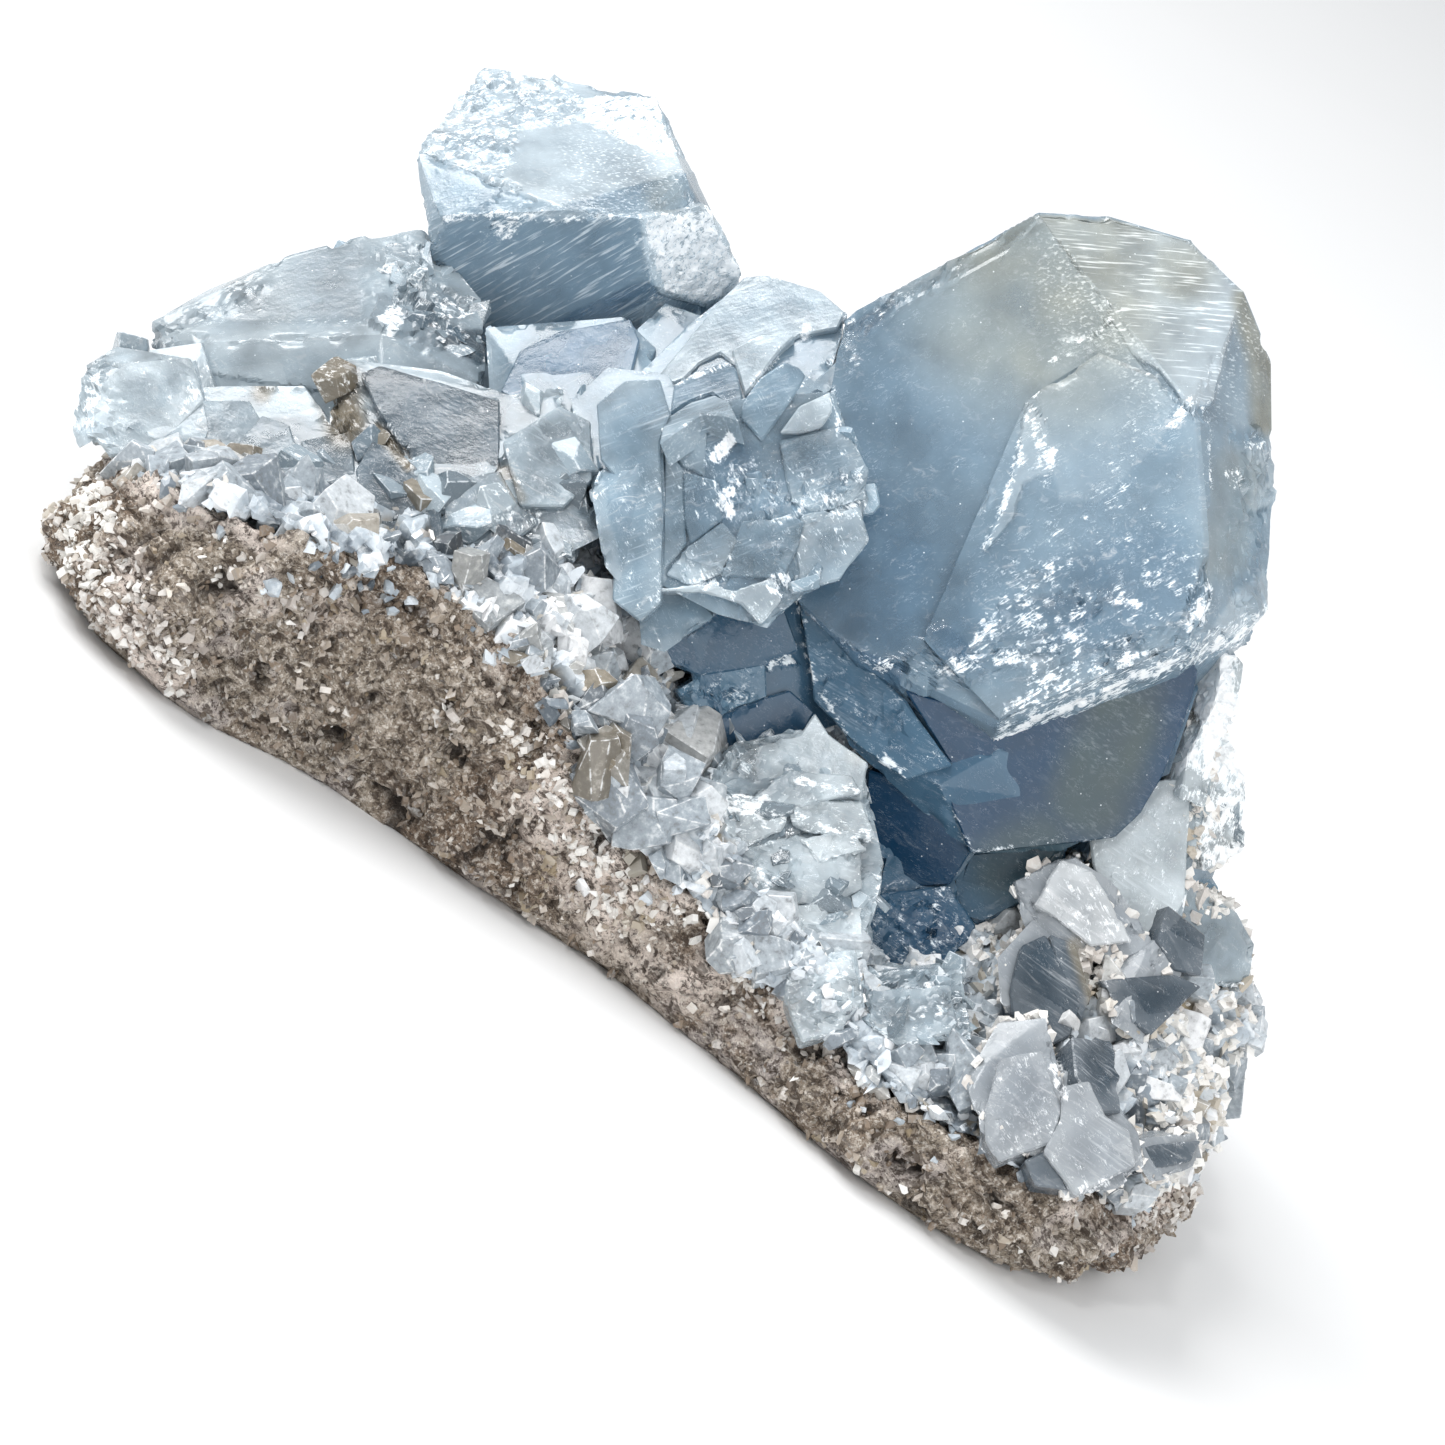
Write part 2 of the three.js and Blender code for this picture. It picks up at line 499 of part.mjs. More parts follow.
function crustPart(crystals) {
  const random = seeded(21);
  const small = Array.from({ length: SMALL_CRYSTALS }, () => hull(smallCrystal(random)));
  const grownOver = joined(small).subtract(crystals);
  const whole = crustShell().add(grownOver).subtract(raisedRock(GAP)).subtract(rockSolid());
  return part('crystal_crust', largestPiece(whole));
}

const specimen = new THREE.Group();
const { parts, taken } = crystalParts();
specimen.add(part('matrix', rockSolid()), crustPart(taken), ...parts);

// The origin is on the table, under the middle of the whole cluster.
const box = new THREE.Box3().setFromObject(specimen);
const middle = box.getCenter(new THREE.Vector3());
specimen.position.set(-middle.x, -middle.y, -box.min.z);

export default specimen;
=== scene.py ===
import itertools
import math

import bmesh
import bpy
import numpy as np
from mathutils import Matrix, Vector
from mathutils.bvhtree import BVHTree


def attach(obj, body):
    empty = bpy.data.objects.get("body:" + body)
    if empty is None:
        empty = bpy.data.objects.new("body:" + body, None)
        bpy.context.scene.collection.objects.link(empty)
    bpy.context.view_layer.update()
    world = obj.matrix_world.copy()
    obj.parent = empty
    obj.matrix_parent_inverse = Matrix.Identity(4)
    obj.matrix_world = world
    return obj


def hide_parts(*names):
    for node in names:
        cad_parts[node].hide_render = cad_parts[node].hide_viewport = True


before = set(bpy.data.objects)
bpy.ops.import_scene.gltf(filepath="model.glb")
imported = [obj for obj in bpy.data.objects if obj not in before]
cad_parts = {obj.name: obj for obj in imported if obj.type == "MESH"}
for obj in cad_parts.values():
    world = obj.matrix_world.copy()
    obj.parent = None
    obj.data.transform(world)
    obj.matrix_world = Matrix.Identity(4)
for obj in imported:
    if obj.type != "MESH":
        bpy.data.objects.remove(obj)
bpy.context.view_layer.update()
scene = bpy.context.scene
mm = 0.001
weldGap = 0.00001  # corners of the CAD meshes nearer than this, in metres, are one corner

# The camera, at the photograph's viewing angle
cameraView = {
    "height": 18.0,  # degrees that it looks down
    "roll": 35.0,  # degrees that it leans
    "distance": 0.42,
    "lens": 136.04,
    "target": (0.00194, -0.0049, 0.0142),
    "pixelsPerMm": 13.0,  # of the 1445 pixel picture, at the target
    "middlePixel": 722.5,
    "sensor": 36.0,
    "nearest": 0.01,
}
lookDown = math.radians(cameraView["height"])
lean = math.radians(cameraView["roll"])
sight = np.array((0.0, math.cos(lookDown), -math.sin(lookDown)))
levelUp = np.array((0.0, math.sin(lookDown), math.cos(lookDown)))
acrossWay = math.cos(lean) * np.array((1.0, 0.0, 0.0)) + math.sin(lean) * levelUp
upWay = -math.sin(lean) * np.array((1.0, 0.0, 0.0)) + math.cos(lean) * levelUp
cameraSpot = np.array(cameraView["target"]) - cameraView["distance"] * sight


def makeCamera():
    data = bpy.data.cameras.new("camera")
    data.lens = cameraView["lens"]
    data.sensor_width = cameraView["sensor"]
    data.clip_start = cameraView["nearest"]
    camera = bpy.data.objects.new("camera", data)
    turn = Matrix((acrossWay, upWay, -sight)).transposed().to_4x4()
    camera.matrix_world = Matrix.Translation(Vector(cameraSpot)) @ turn
    scene.collection.objects.link(camera)
    scene.camera = camera


def picturePlace(points):
    # where points in mm fall in the picture, in its pixels
    away = points * mm - cameraSpot
    depth = away @ sight
    scale = cameraView["distance"] / mm * cameraView["pixelsPerMm"] / depth
    across = cameraView["middlePixel"] + (away @ acrossWay) * scale
    down = cameraView["middlePixel"] - (away @ upWay) * scale
    return np.stack((across, down), 1)


def sightLines(spots):
    # the lines of sight through these pixels, in mm
    away = (np.array(spots, float) - cameraView["middlePixel"]) / cameraView["pixelsPerMm"]
    return sight * cameraView["distance"] / mm + away[:, :1] * acrossWay - away[:, 1:] * upWay


def alongFace(normal, across, down):
    # the direction on a face that runs across and down the picture by these amounts
    flat = acrossWay * across - upWay * down
    way = flat - sight * (flat @ normal) / (sight @ normal)
    return way / np.linalg.norm(way)


farAway = 99.0  # mm, further than anything in the part

# Steady random values for the relief of the meshes
dice = np.random.default_rng(7).random((65536, 4))
leans = np.random.default_rng(8).normal(size=(4096, 3))
leans /= np.linalg.norm(leans, axis=1, keepdims=True)


def cellCode(cells, seed):
    x, y, z = (cells[:, i].astype(np.int64) for i in range(3))
    code = x * 374761393 + y * 668265263 + z * 1442695041 + seed * 97403123
    code = (code ^ (code >> 13)) * 1274126177
    return (code ^ (code >> 16)) & 65535


def swell(points, size, seed):
    # soft noise, about -1 to 1, with swells of this size
    spots = points / size
    cells = np.floor(spots)
    inside = spots - cells
    ease = inside**3 * (inside * (inside * 6 - 15) + 10)
    total = np.zeros(len(points))
    for corner in itertools.product((0, 1), repeat=3):
        corner = np.array(corner)
        slope = dice[cellCode(cells + corner, seed)][:, :3] * 2 - 1
        share = np.prod(np.where(corner, ease, 1 - ease), axis=1)
        total += share * ((inside - corner) * slope).sum(1)
    return total * 1.6


def rough(points, size, seed, layers=4, gain=0.55):
    # swells on swells
    total = np.zeros(len(points))
    for layer in range(layers):
        total += swell(points, size / 2**layer, seed + layer * 13) * gain**layer
    return total


def plates(points, cell, seed, tilt):
    # broken faces: flat plates of their own height and lean, in cells, and a steady random value for each
    bend = np.stack([swell(points, cell, seed + axis) for axis in range(3)], 1)
    spots = points / cell + bend * 0.35
    home = np.floor(spots)
    nearest = np.full(len(points), farAway)
    height = np.zeros(len(points))
    tone = np.zeros(len(points))
    for offset in itertools.product((-1, 0, 1), repeat=3):
        cells = home + np.array(offset)
        code = cellCode(cells, seed)
        away = spots - cells - dice[code][:, :3]
        gap = (away * away).sum(1)
        nearer = gap < nearest
        lean = (away * leans[(code * 7) % 4096]).sum(1)
        nearest = np.where(nearer, gap, nearest)
        height = np.where(nearer, dice[code][:, 3] - 0.5 + tilt * lean, height)
        tone = np.where(nearer, dice[code][:, 3], tone)
    return height, tone


def fade(value, low, high):
    part = np.clip((value - low) / (high - low), 0, 1)
    return part * part * (3 - 2 * part)


# Meshes as arrays, in millimetres
def pointsOf(mesh):
    flat = np.empty(len(mesh.vertices) * 3, np.float32)
    mesh.vertices.foreach_get("co", flat)
    return flat.reshape(-1, 3).astype(float) / mm


def normalsOf(mesh):
    flat = np.empty(len(mesh.vertices) * 3, np.float32)
    mesh.vertex_normals.foreach_get("vector", flat)
    return flat.reshape(-1, 3).astype(float)


def putPoints(mesh, points):
    mesh.vertices.foreach_set("co", (points * mm).astype(np.float32).ravel())
    mesh.update()


def putMark(mesh, name, values, domain="POINT"):
    mark = mesh.attributes.new(name, "FLOAT", domain)
    mark.data.foreach_set("value", np.clip(values, -1, 1).astype(np.float32))


def readMark(mesh, name):
    values = np.empty(len(mesh.vertices), np.float32)
    mesh.attributes[name].data.foreach_get("value", values)
    return values.astype(float)


def edgePairs(mesh):
    pairs = np.empty(len(mesh.edges) * 2, np.int32)
    mesh.edges.foreach_get("vertices", pairs)
    return pairs.reshape(-1, 2)


def standOut(mesh, rounds=1):
    # how far each point stands out from its neighbours: ridges above 0, hollows below
    points = pointsOf(mesh)
    normals = normalsOf(mesh)
    pairs = edgePairs(mesh)
    first, second = pairs[:, 0], pairs[:, 1]
    way = points[second] - points[first]
    way /= np.maximum(np.linalg.norm(way, axis=1, keepdims=True), 1e-6)
    bend = np.zeros(len(points))
    count = np.bincount(pairs.ravel(), minlength=len(points)).clip(1)
    np.add.at(bend, first, -(way * normals[first]).sum(1))
    np.add.at(bend, second, (way * normals[second]).sum(1))
    bend /= count
    for _ in range(rounds):
        total = bend * 1.0
        np.add.at(total, first, bend[second])
        np.add.at(total, second, bend[first])
        bend = total / (count + 1)
    return bend


def cadCopy(name, title):
    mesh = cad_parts[name].data.copy()
    mesh.materials.clear()
    form = bmesh.new()
    form.from_mesh(mesh)
    bmesh.ops.remove_doubles(form, verts=form.verts, dist=weldGap)
    form.to_mesh(mesh)
    form.free()
    piece = bpy.data.objects.new(title, mesh)
    scene.collection.objects.link(piece)
    return piece


def applied(piece):
    # the piece's mesh with its modifiers made real
    bpy.context.view_layer.update()
    seen = piece.evaluated_get(bpy.context.evaluated_depsgraph_get())
    mesh = bpy.data.meshes.new_from_object(seen)
    old = piece.data
    piece.modifiers.clear()
    piece.data = mesh
    bpy.data.meshes.remove(old)


def splitFaces(points, faces, longest, levels):
    # triangles split until no edge is longer than this; the levels are values of the corners
    while True:
        pairs = np.sort(faces[:, [0, 1, 1, 2, 2, 0]].reshape(-1, 2).astype(np.int64), axis=1)
        codes, which = np.unique(pairs[:, 0] * len(points) + pairs[:, 1], return_inverse=True)
        first, second = codes // len(points), codes % len(points)
        split = np.linalg.norm(points[first] - points[second], axis=1) > longest
        if not split.any():
            return points, faces, levels
        middles = np.where(split, len(points) + np.cumsum(split) - 1, -1)[which].reshape(-1, 3)
        points = np.concatenate((points, (points[first] + points[second])[split] / 2))
        levels = np.concatenate((levels, (levels[first] + levels[second])[split] / 2))
        chosen = middles >= 0
        count = chosen.sum(1)
        start = np.where(count == 2, (chosen.argmin(1) + 1) % 3, 0)
        start = np.where(count == 1, chosen.argmax(1), start)
        order = (start[:, None] + np.arange(3)) % 3
        a, b, c = np.take_along_axis(faces, order, 1).T
        ab, bc, ca = np.take_along_axis(middles, order, 1).T
        groups = [faces[count == 0]]
        for number, made in (
            (1, ((a, ab, c), (ab, b, c))),
            (2, ((ab, b, bc), (a, ab, bc), (a, bc, c))),
            (3, ((a, ab, ca), (ab, b, bc), (ca, bc, c), (ab, bc, ca))),
        ):
            groups += [np.stack([corner[count == number] for corner in face], 1) for face in made]
        faces = np.concatenate(groups)


def trianglesOf(mesh):
    mesh.calc_loop_triangles()
    corners = np.empty(len(mesh.loop_triangles) * 3, np.int32)
    mesh.loop_triangles.foreach_get("vertices", corners)
    return corners.reshape(-1, 3)


def fromTriangles(title, points, faces):
    mesh = bpy.data.meshes.new(title)
    mesh.from_pydata((points * mm).tolist(), [], faces.tolist())
    mesh.polygons.foreach_set("use_smooth", [True] * len(faces))
    mesh.update()
    return mesh


def remeshed(piece, grain):
    remesh = piece.modifiers.new("remesh", "REMESH")
    remesh.mode = "VOXEL"
    remesh.voxel_size = grain * mm
    applied(piece)
    for attribute in list(piece.data.attributes):
        if attribute.name.startswith(("custom", "sharp")):
            piece.data.attributes.remove(attribute)
    piece.data.polygons.foreach_set("use_smooth", [True] * len(piece.data.polygons))


def sharpEdges(name, leastAngle):
    # the two ends of each sharp edge of a CAD solid that stands out, in mm
    form = bmesh.new()
    form.from_mesh(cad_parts[name].data)
    bmesh.ops.remove_doubles(form, verts=form.verts, dist=weldGap)
    found = []
    for edge in form.edges:
        if len(edge.link_faces) == 2 and edge.calc_face_angle_signed(0) > leastAngle:
            found.append([tuple(vert.co / mm) for vert in edge.verts])
    form.free()
    return np.array(found)


def edgeReach(points, edges):
    # how far each point is from the nearest of the edges
    nearest = np.full(len(points), farAway)
    for start, end in edges:
        line = end - start
        along = np.clip(((points - start) @ line) / (line @ line), 0, 1)
        gap = points - start - along[:, None] * line
        nearest = np.minimum(nearest, (gap * gap).sum(1))
    return np.sqrt(nearest)


def strokes(spots, drawn):
    # how strongly lines drawn in picture pixels mark each spot: (width, strength, points)
    shade = np.zeros(len(spots))
    for width, strength, line in drawn:
        line = [np.array(place, float) for place in line]
        for start, end in zip(line, line[1:] or line):
            way = end - start
            length = max(way @ way, 1e-6)
            along = np.clip(((spots - start) @ way) / length, 0, 1)
            gap = np.linalg.norm(spots - start - along[:, None] * way, axis=1)
            shade = np.maximum(shade, strength * fade(1 - gap / width, 0, 0.7))
    return shade


def insideOutline(spots, outline):
    # how far inside an outline each spot is, in pixels; below 0 outside it
    corners = np.array(outline, float)
    gap = np.full(len(spots), 999.0)
    inside = np.zeros(len(spots), bool)
    for start, end in zip(corners, np.roll(corners, -1, axis=0)):
        way = end - start
        away = spots - start
        along = np.clip(away @ way / max(way @ way, 1e-6), 0, 1)
        gap = np.minimum(gap, np.linalg.norm(away - along[:, None] * way, axis=1))
        if start[1] != end[1]:
            between = (start[1] > spots[:, 1]) != (end[1] > spots[:, 1])
            crossing = start[0] + (spots[:, 1] - start[1]) * way[0] / way[1]
            inside ^= between & (spots[:, 0] < crossing)
    return np.where(inside, gap, -gap)


# Materials: a wire is a node's output that sums can be written with
class Wire:
    def __init__(self, finish, socket):
        self.finish = finish
        self.socket = socket

    def maths(self, operation, first, second=0.0, clamp=False):
        settings = {"operation": operation, "use_clamp": clamp}
        return self.finish.add("ShaderNodeMath", settings, {0: first, 1: second})

    def __add__(self, other):
        return self.maths("ADD", self, other)

    def __radd__(self, other):
        return self.maths("ADD", other, self)

    def __sub__(self, other):
        return self.maths("SUBTRACT", self, other)

    def __rsub__(self, other):
        return self.maths("SUBTRACT", other, self)

    def __mul__(self, other):
        return self.maths("MULTIPLY", self, other)

    def size(self):
        return self.maths("ABSOLUTE", self)

    def kept(self):
        return self.maths("ADD", self, 0.0, clamp=True)

    def over(self, other):
        return self.maths("MAXIMUM", self, other)

    def step(self, low, high):
        settings = {"interpolation_type": "SMOOTHSTEP"}
        values = {"Value": self, "From Min": low, "From Max": high}
        return self.finish.add("ShaderNodeMapRange", settings, values)


class Finish:
    def __init__(self, name):
        self.material = bpy.data.materials.new(name)
        self.material.use_nodes = True
        self.tree = self.material.node_tree
        self.tree.nodes.clear()
        self.end = self.tree.nodes.new("ShaderNodeOutputMaterial")
        self.object = self.add("ShaderNodeTexCoord", output="Object")
        self.place = self.vector("SCALE", self.object, Scale=1 / mm)

    def add(self, kind, settings=None, values=None, output=0):
        node = self.tree.nodes.new(kind)
        for name, value in (settings or {}).items():
            setattr(node, name, value)
        for name, value in (values or {}).items():
            if isinstance(value, Wire):
                self.tree.links.new(value.socket, node.inputs[name])
            elif value is not None:
                node.inputs[name].default_value = value
        return Wire(self, node.outputs[output])

    def vector(self, operation, first, second=None, **others):
        values = {0: first, **({1: second} if second is not None else {}), **others}
        return self.add("ShaderNodeVectorMath", {"operation": operation}, values)

    def mark(self, name):
        return self.add("ShaderNodeAttribute", {"attribute_name": name}, output="Fac")

    def noise(self, place, size, detail=3.0, roughness=0.5, distortion=0.0):
        values = {"Vector": place, "Scale": 1 / size, "Detail": detail}
        values.update({"Roughness": roughness, "Distortion": distortion})
        return self.add("ShaderNodeTexNoise", None, values)

    def cells(self, place, size):
        # the distance from each cell's middle and the cell's own value
        near = self.add("ShaderNodeTexVoronoi", None, {"Vector": place, "Scale": 1 / size})
        chosen = Wire(self, near.socket.node.outputs["Color"])
        return near, self.add("ShaderNodeSeparateColor", None, {0: chosen})

    def stretched(self, way, size, length):
        # the place turned so that patterns run along a direction, long along it
        turn = Vector(way).to_track_quat("X", "Z").inverted().to_euler()
        values = {"Vector": self.place, "Rotation": turn}
        turned = self.add("ShaderNodeMapping", {"vector_type": "POINT"}, values)
        return self.vector("MULTIPLY", turned, (size / length, 1.0, 1.0))

    def mix(self, factor, first, second, blend="MIX"):
        def colour(value):
            return value if isinstance(value, Wire) else (*value, 1.0)

        settings = {"data_type": "RGBA", "blend_type": blend, "clamp_factor": True}
        values = {0: factor, 6: colour(first), 7: colour(second)}
        return self.add("ShaderNodeMix", settings, values, output=2)

    def bump(self, height, strength, distance, normal=None):
        values = {"Height": height, "Strength": strength, "Distance": distance * mm, "Normal": normal}
        return self.add("ShaderNodeBump", None, values)

    def principled(self, **values):
        named = {name.replace("_", " "): value for name, value in values.items()}
        return self.add("ShaderNodeBsdfPrincipled", None, named)

    def blend(self, factor, first, second):
        return self.add("ShaderNodeMixShader", None, {0: factor, 1: first, 2: second})

    def done(self, surface, volume=None):
        self.tree.links.new(surface.socket, self.end.inputs["Surface"])
        if volume:
            self.tree.links.new(volume.socket, self.end.inputs["Volume"])
        return self.material


def absorption(finish, colour, density):
    return finish.add("ShaderNodeVolumeAbsorption", None, {"Color": (*colour, 1.0), "Density": density})


# Milk is how much of a crystal is cloudy rather than clear, haze and gloss the roughness of its clear and
# cloudy parts, shine the specular level, clearTint how far the clear parts are bleached, depth and density the
# absorption; specks, line, planes and wisps are the strength of specks, striations, inner faces and wisps.
crystalLooks = {
    "celestite": {
        "milk": 0.55, "haze": 0.08, "gloss": 0.20, "shine": 0.45, "clearTint": 0.36,
        "pale": (0.67, 0.77, 0.83), "middle": (0.26, 0.375, 0.465), "deep": (0.075, 0.165, 0.265),
        "stained": (0.40, 0.40, 0.32), "frosted": (0.92, 0.95, 0.97),
        "depth": (0.36, 0.60, 0.76), "density": 34.0, "specks": 0.8, "line": 0.5, "planes": 0.09,
        "wisps": 1.0,
    },
    "pale_celestite": {
        "milk": 0.55, "haze": 0.10, "gloss": 0.22, "shine": 0.45, "clearTint": 0.28,
        "pale": (0.74, 0.82, 0.86), "middle": (0.40, 0.49, 0.55), "deep": (0.085, 0.125, 0.16),
        "stained": (0.24, 0.19, 0.12), "frosted": (0.92, 0.94, 0.95),
        "depth": (0.52, 0.68, 0.78), "density": 22.0, "specks": 0.7, "line": 0.4, "planes": 0.26,
        "wisps": 1.2,
    },
    # the dark crystals' deep navy is partly their own blue and partly painted shade: the recess and the dark
    # they reflect
    "dark_celestite": {
        "milk": 0.84, "haze": 0.10, "gloss": 0.17, "shine": 0.22, "clearTint": 0.1,
        "pale": (0.16, 0.28, 0.38), "middle": (0.055, 0.125, 0.20), "deep": (0.008, 0.047, 0.106),
        "stained": (0.075, 0.105, 0.095), "frosted": (0.80, 0.86, 0.90),
        "depth": (0.12, 0.40, 0.68), "density": 110.0, "specks": 0.9, "line": 0.3, "planes": 0.14,
        "wisps": 0.25,
    },
    "smoky_celestite": {
        "milk": 0.70, "haze": 0.12, "gloss": 0.22, "shine": 0.32, "clearTint": 0.3,
        "pale": (0.62, 0.65, 0.67), "middle": (0.30, 0.335, 0.37), "deep": (0.035, 0.060, 0.085),
        "stained": (0.34, 0.28, 0.18), "frosted": (0.90, 0.91, 0.92),
        "depth": (0.42, 0.52, 0.60), "density": 60.0, "specks": 0.7, "line": 0.5, "planes": 0.30,
        "wisps": 0.9,
    },
}


def crystalFinish(title, look, lineWay=(1, 0, 0), streakWay=None):
    finish = Finish(title)
    place = finish.place
    names = ("frost", "stain", "shade", "line", "ridge", "cloud")
    frost, stain, shade, line, ridge, cloud = (finish.mark(name) for name in names)
    crumb = finish.noise(place, 0.7, 4.0, 0.68)
    hairWay = lineWay if streakWay is None else streakWay
    hair = finish.noise(finish.stretched(hairWay, 0.5, 2.4), 0.5, 3.0, 0.66, 2.0)
    dots, chosen = finish.cells(place, 0.8)
    speck = (1 - dots.step(0.04, 0.09)) * chosen.step(0.66, 0.70) * look["specks"]
    ragged = frost * (frost * 0.25 + 0.58) + (crumb - 0.5) * 1.4 + (hair - 0.5) * 1.4
    ragged = ragged.step(0.40, 0.72) * frost.step(0.02, 0.2)
    crack = 1 - (hair - 0.5).size().step(0.0, 0.016)
    crack = crack * crumb.step(0.46, 0.60) * (0.20 + frost * 0.9 + cloud * 0.25)
    # ridges and blunted rims are whitened: partly frosted wear, partly painted glints along the edges
    ridges = ridge.step(0.2, 0.7) * crumb.step(0.38, 0.56)
    ridges = ridges.over(finish.mark("rim") * crumb.step(0.46, 0.60) * 0.8)
    fine = finish.noise(finish.stretched(lineWay, 0.22, 5.0), 0.22, 2.0, 0.5)
    lined = fine.step(0.52, 0.72) * line * look["line"]
    white = ragged.over(speck).over(crack).over(ridges * 0.6).over(lined)
    milk = (look["milk"] + cloud * 0.35 + white).kept()
    veil = finish.noise(finish.stretched(lineWay, 5.0, 9.0), 5.0, 3.0, 0.60)
    shift = finish.vector("SCALE", crumb, Scale=0.5)
    bent = finish.vector("ADD", finish.stretched(lineWay, 3.6, 7.0), shift)
    _, plane = finish.cells(bent, 3.6)
    wisp = finish.noise(finish.stretched(lineWay, 0.8, 4.5), 0.8, 4.0, 0.74, 1.2)
    tone = shade + (veil - 0.5) * 0.20 + (plane - 0.5) * look["planes"] + (crumb - 0.5) * 0.22
    wisps = wisp.step(0.54, 0.72) * (0.14 + veil.step(0.46, 0.62) * 0.22 + frost * 0.6)
    pale = (tone * -1.0).kept()
    deep = tone.kept()
    # milky is the colour of the cloudy parts, body that of the clear ones; white covers what is frosted
    milky = finish.mix(deep, look["middle"], look["deep"])
    milky = finish.mix(pale, milky, look["pale"])
    milky = finish.mix(stain, milky, look["stained"])
    milky = finish.mix(wisps * look["wisps"], milky, look["frosted"])
    body = finish.mix(look["clearTint"], milky, (0.93, 0.96, 0.98))
    dull = tuple(0.80 * part for part in look["frosted"])
    snow = finish.mix(crumb.step(0.36, 0.56), dull, look["frosted"])
    milky = finish.mix(white, milky, snow)
    frosty = finish.bump(crumb * (0.25 + frost * 0.6) + fine * line * 0.3, 0.8, 0.22)
    clear = finish.principled(
        Base_Color=body, Roughness=look["haze"], IOR=1.62, Specular_IOR_Level=look["shine"],
        Transmission_Weight=1.0, Normal=frosty,
    )
    cloudy = finish.principled(
        Base_Color=milky, Roughness=look["gloss"] + white * 0.35, IOR=1.62,
        Specular_IOR_Level=look["shine"], Normal=frosty,
    )
    surface = finish.blend(milk, clear, cloudy)
    return finish.done(surface, absorption(finish, look["depth"], look["density"]))


def rockFinish(title):
    finish = Finish(title)
    place = finish.place
    names = ("pale", "ridge", "dark", "cloud", "patch")
    pale, ridge, dark, cloud, patch = (finish.mark(name) for name in names)
    grain = finish.noise(place, 0.75, 4.0, 0.80)
    fleck = finish.noise(place, 0.35, 3.0, 0.6)
    drawn = finish.noise(finish.stretched((0.95, -0.1, -0.3), 0.8, 2.2), 0.8, 3.0, 0.72)
    tint = finish.mix(cloud.step(-0.4, 0.4), (0.23, 0.165, 0.115), (0.33, 0.275, 0.215))
    tint = finish.mix(patch.step(0.0, 0.45), tint, (0.50, 0.44, 0.41))
    tint = finish.mix(grain.step(0.50, 0.64) * 0.85, tint, (0.68, 0.60, 0.52))
    # the pale marks are partly pale rock and partly painted light that lifts faces turned down from the lamps
    tint = finish.mix(pale * 0.95, tint, (0.92, 0.80, 0.72))
    tint = finish.mix(fleck.step(0.54, 0.63) * 0.75, tint, (0.86, 0.79, 0.71))
    tint = finish.mix(grain.step(0.49, 0.39) * 0.88, tint, (0.060, 0.042, 0.030))
    tint = finish.mix(drawn.step(0.47, 0.38) * 0.8, tint, (0.070, 0.048, 0.034))
    # painted shade in the hollows, and painted highlights paler on the ridges
    tint = finish.mix((ridge * -1.0).step(0.05, 0.4) * 0.8, tint, (0.05, 0.036, 0.028))
    tint = finish.mix(ridge.step(0.15, 0.6) * 0.5, tint, (0.74, 0.68, 0.62))
    # painted shade: the pits are darkened nearly black
    tint = finish.mix(dark, tint, (0.03, 0.025, 0.022))
    rough = finish.bump(grain + drawn * 0.8 + fleck * 0.4, 1.0, 0.7)
    return finish.done(finish.principled(Base_Color=tint, Roughness=0.85, IOR=1.5, Normal=rough))


grainTints = {
    # stops of each grain's own tone
    "rock": [
        (0.0, (0.07, 0.05, 0.035)), (0.3, (0.24, 0.18, 0.13)), (0.6, (0.36, 0.30, 0.24)),
        (0.85, (0.52, 0.46, 0.40)), (1.0, (0.78, 0.73, 0.67)),
    ],
    "druse": [
        (0.0, (0.08, 0.10, 0.12)), (0.2, (0.22, 0.26, 0.30)), (0.45, (0.43, 0.49, 0.54)),
        (0.7, (0.66, 0.71, 0.75)), (1.0, (0.94, 0.95, 0.96)),
    ],
    "warm": [
        (0.0, (0.22, 0.18, 0.15)), (0.3, (0.42, 0.37, 0.33)), (0.6, (0.62, 0.58, 0.54)),
        (1.0, (0.86, 0.84, 0.80)),
    ],
}


def grainFinish(title, tints, clearShare):
    # many small crystals or grains: each has its own tone
    finish = Finish(title)
    place = finish.place
    tone, stain = finish.mark("tone"), finish.mark("stain")
    crumb = finish.noise(place, 0.7, 4.0, 0.65)
    first = grainTints[tints][0][1]
    tint = first
    for (low, _), (high, colour) in zip(grainTints[tints], grainTints[tints][1:]):
        tint = finish.mix(tone.step(low, high), tint, colour)
    tint = finish.mix(crumb.step(0.5, 0.72) * 0.5, tint, (0.88, 0.90, 0.90))
    tint = finish.mix(crumb.step(0.46, 0.30) * 0.45, tint, (0.20, 0.20, 0.20))
    tint = finish.mix(stain, tint, (0.36, 0.29, 0.19))
    # the blunted rims are whitened: partly frosted wear, partly painted glints along the edges
    tint = finish.mix(finish.mark("rim") * crumb.step(0.44, 0.58) * 0.8, tint, (0.93, 0.94, 0.94))
    rough = finish.bump(crumb, 0.6, 0.10)
    cloudy = finish.principled(Base_Color=tint, Roughness=0.3, IOR=1.6, Normal=rough)
    if clearShare == 0:
        return finish.done(cloudy)
    bleached = finish.mix(0.6, tint, (0.95, 0.97, 0.98))
    clear = finish.principled(
        Base_Color=bleached, Roughness=0.12, IOR=1.62, Transmission_Weight=1.0, Normal=rough,
    )
    share = (1 - clearShare + (crumb - 0.5) * 0.8).kept()
    return finish.done(finish.blend(share, clear, cloudy), absorption(finish, (0.6, 0.7, 0.76), 30.0))


faceWays = {
    # unit normals of faces that have a finish of their own
    "largeFront": np.array((-0.124, -0.923, 0.362)),
    "largeTop": np.array((0.11, -0.445, 0.888)),
    "largeSide": np.array((0.64, -0.26, 0.72)),
    "upperFront": np.array((0.10, -0.93, -0.35)),
}
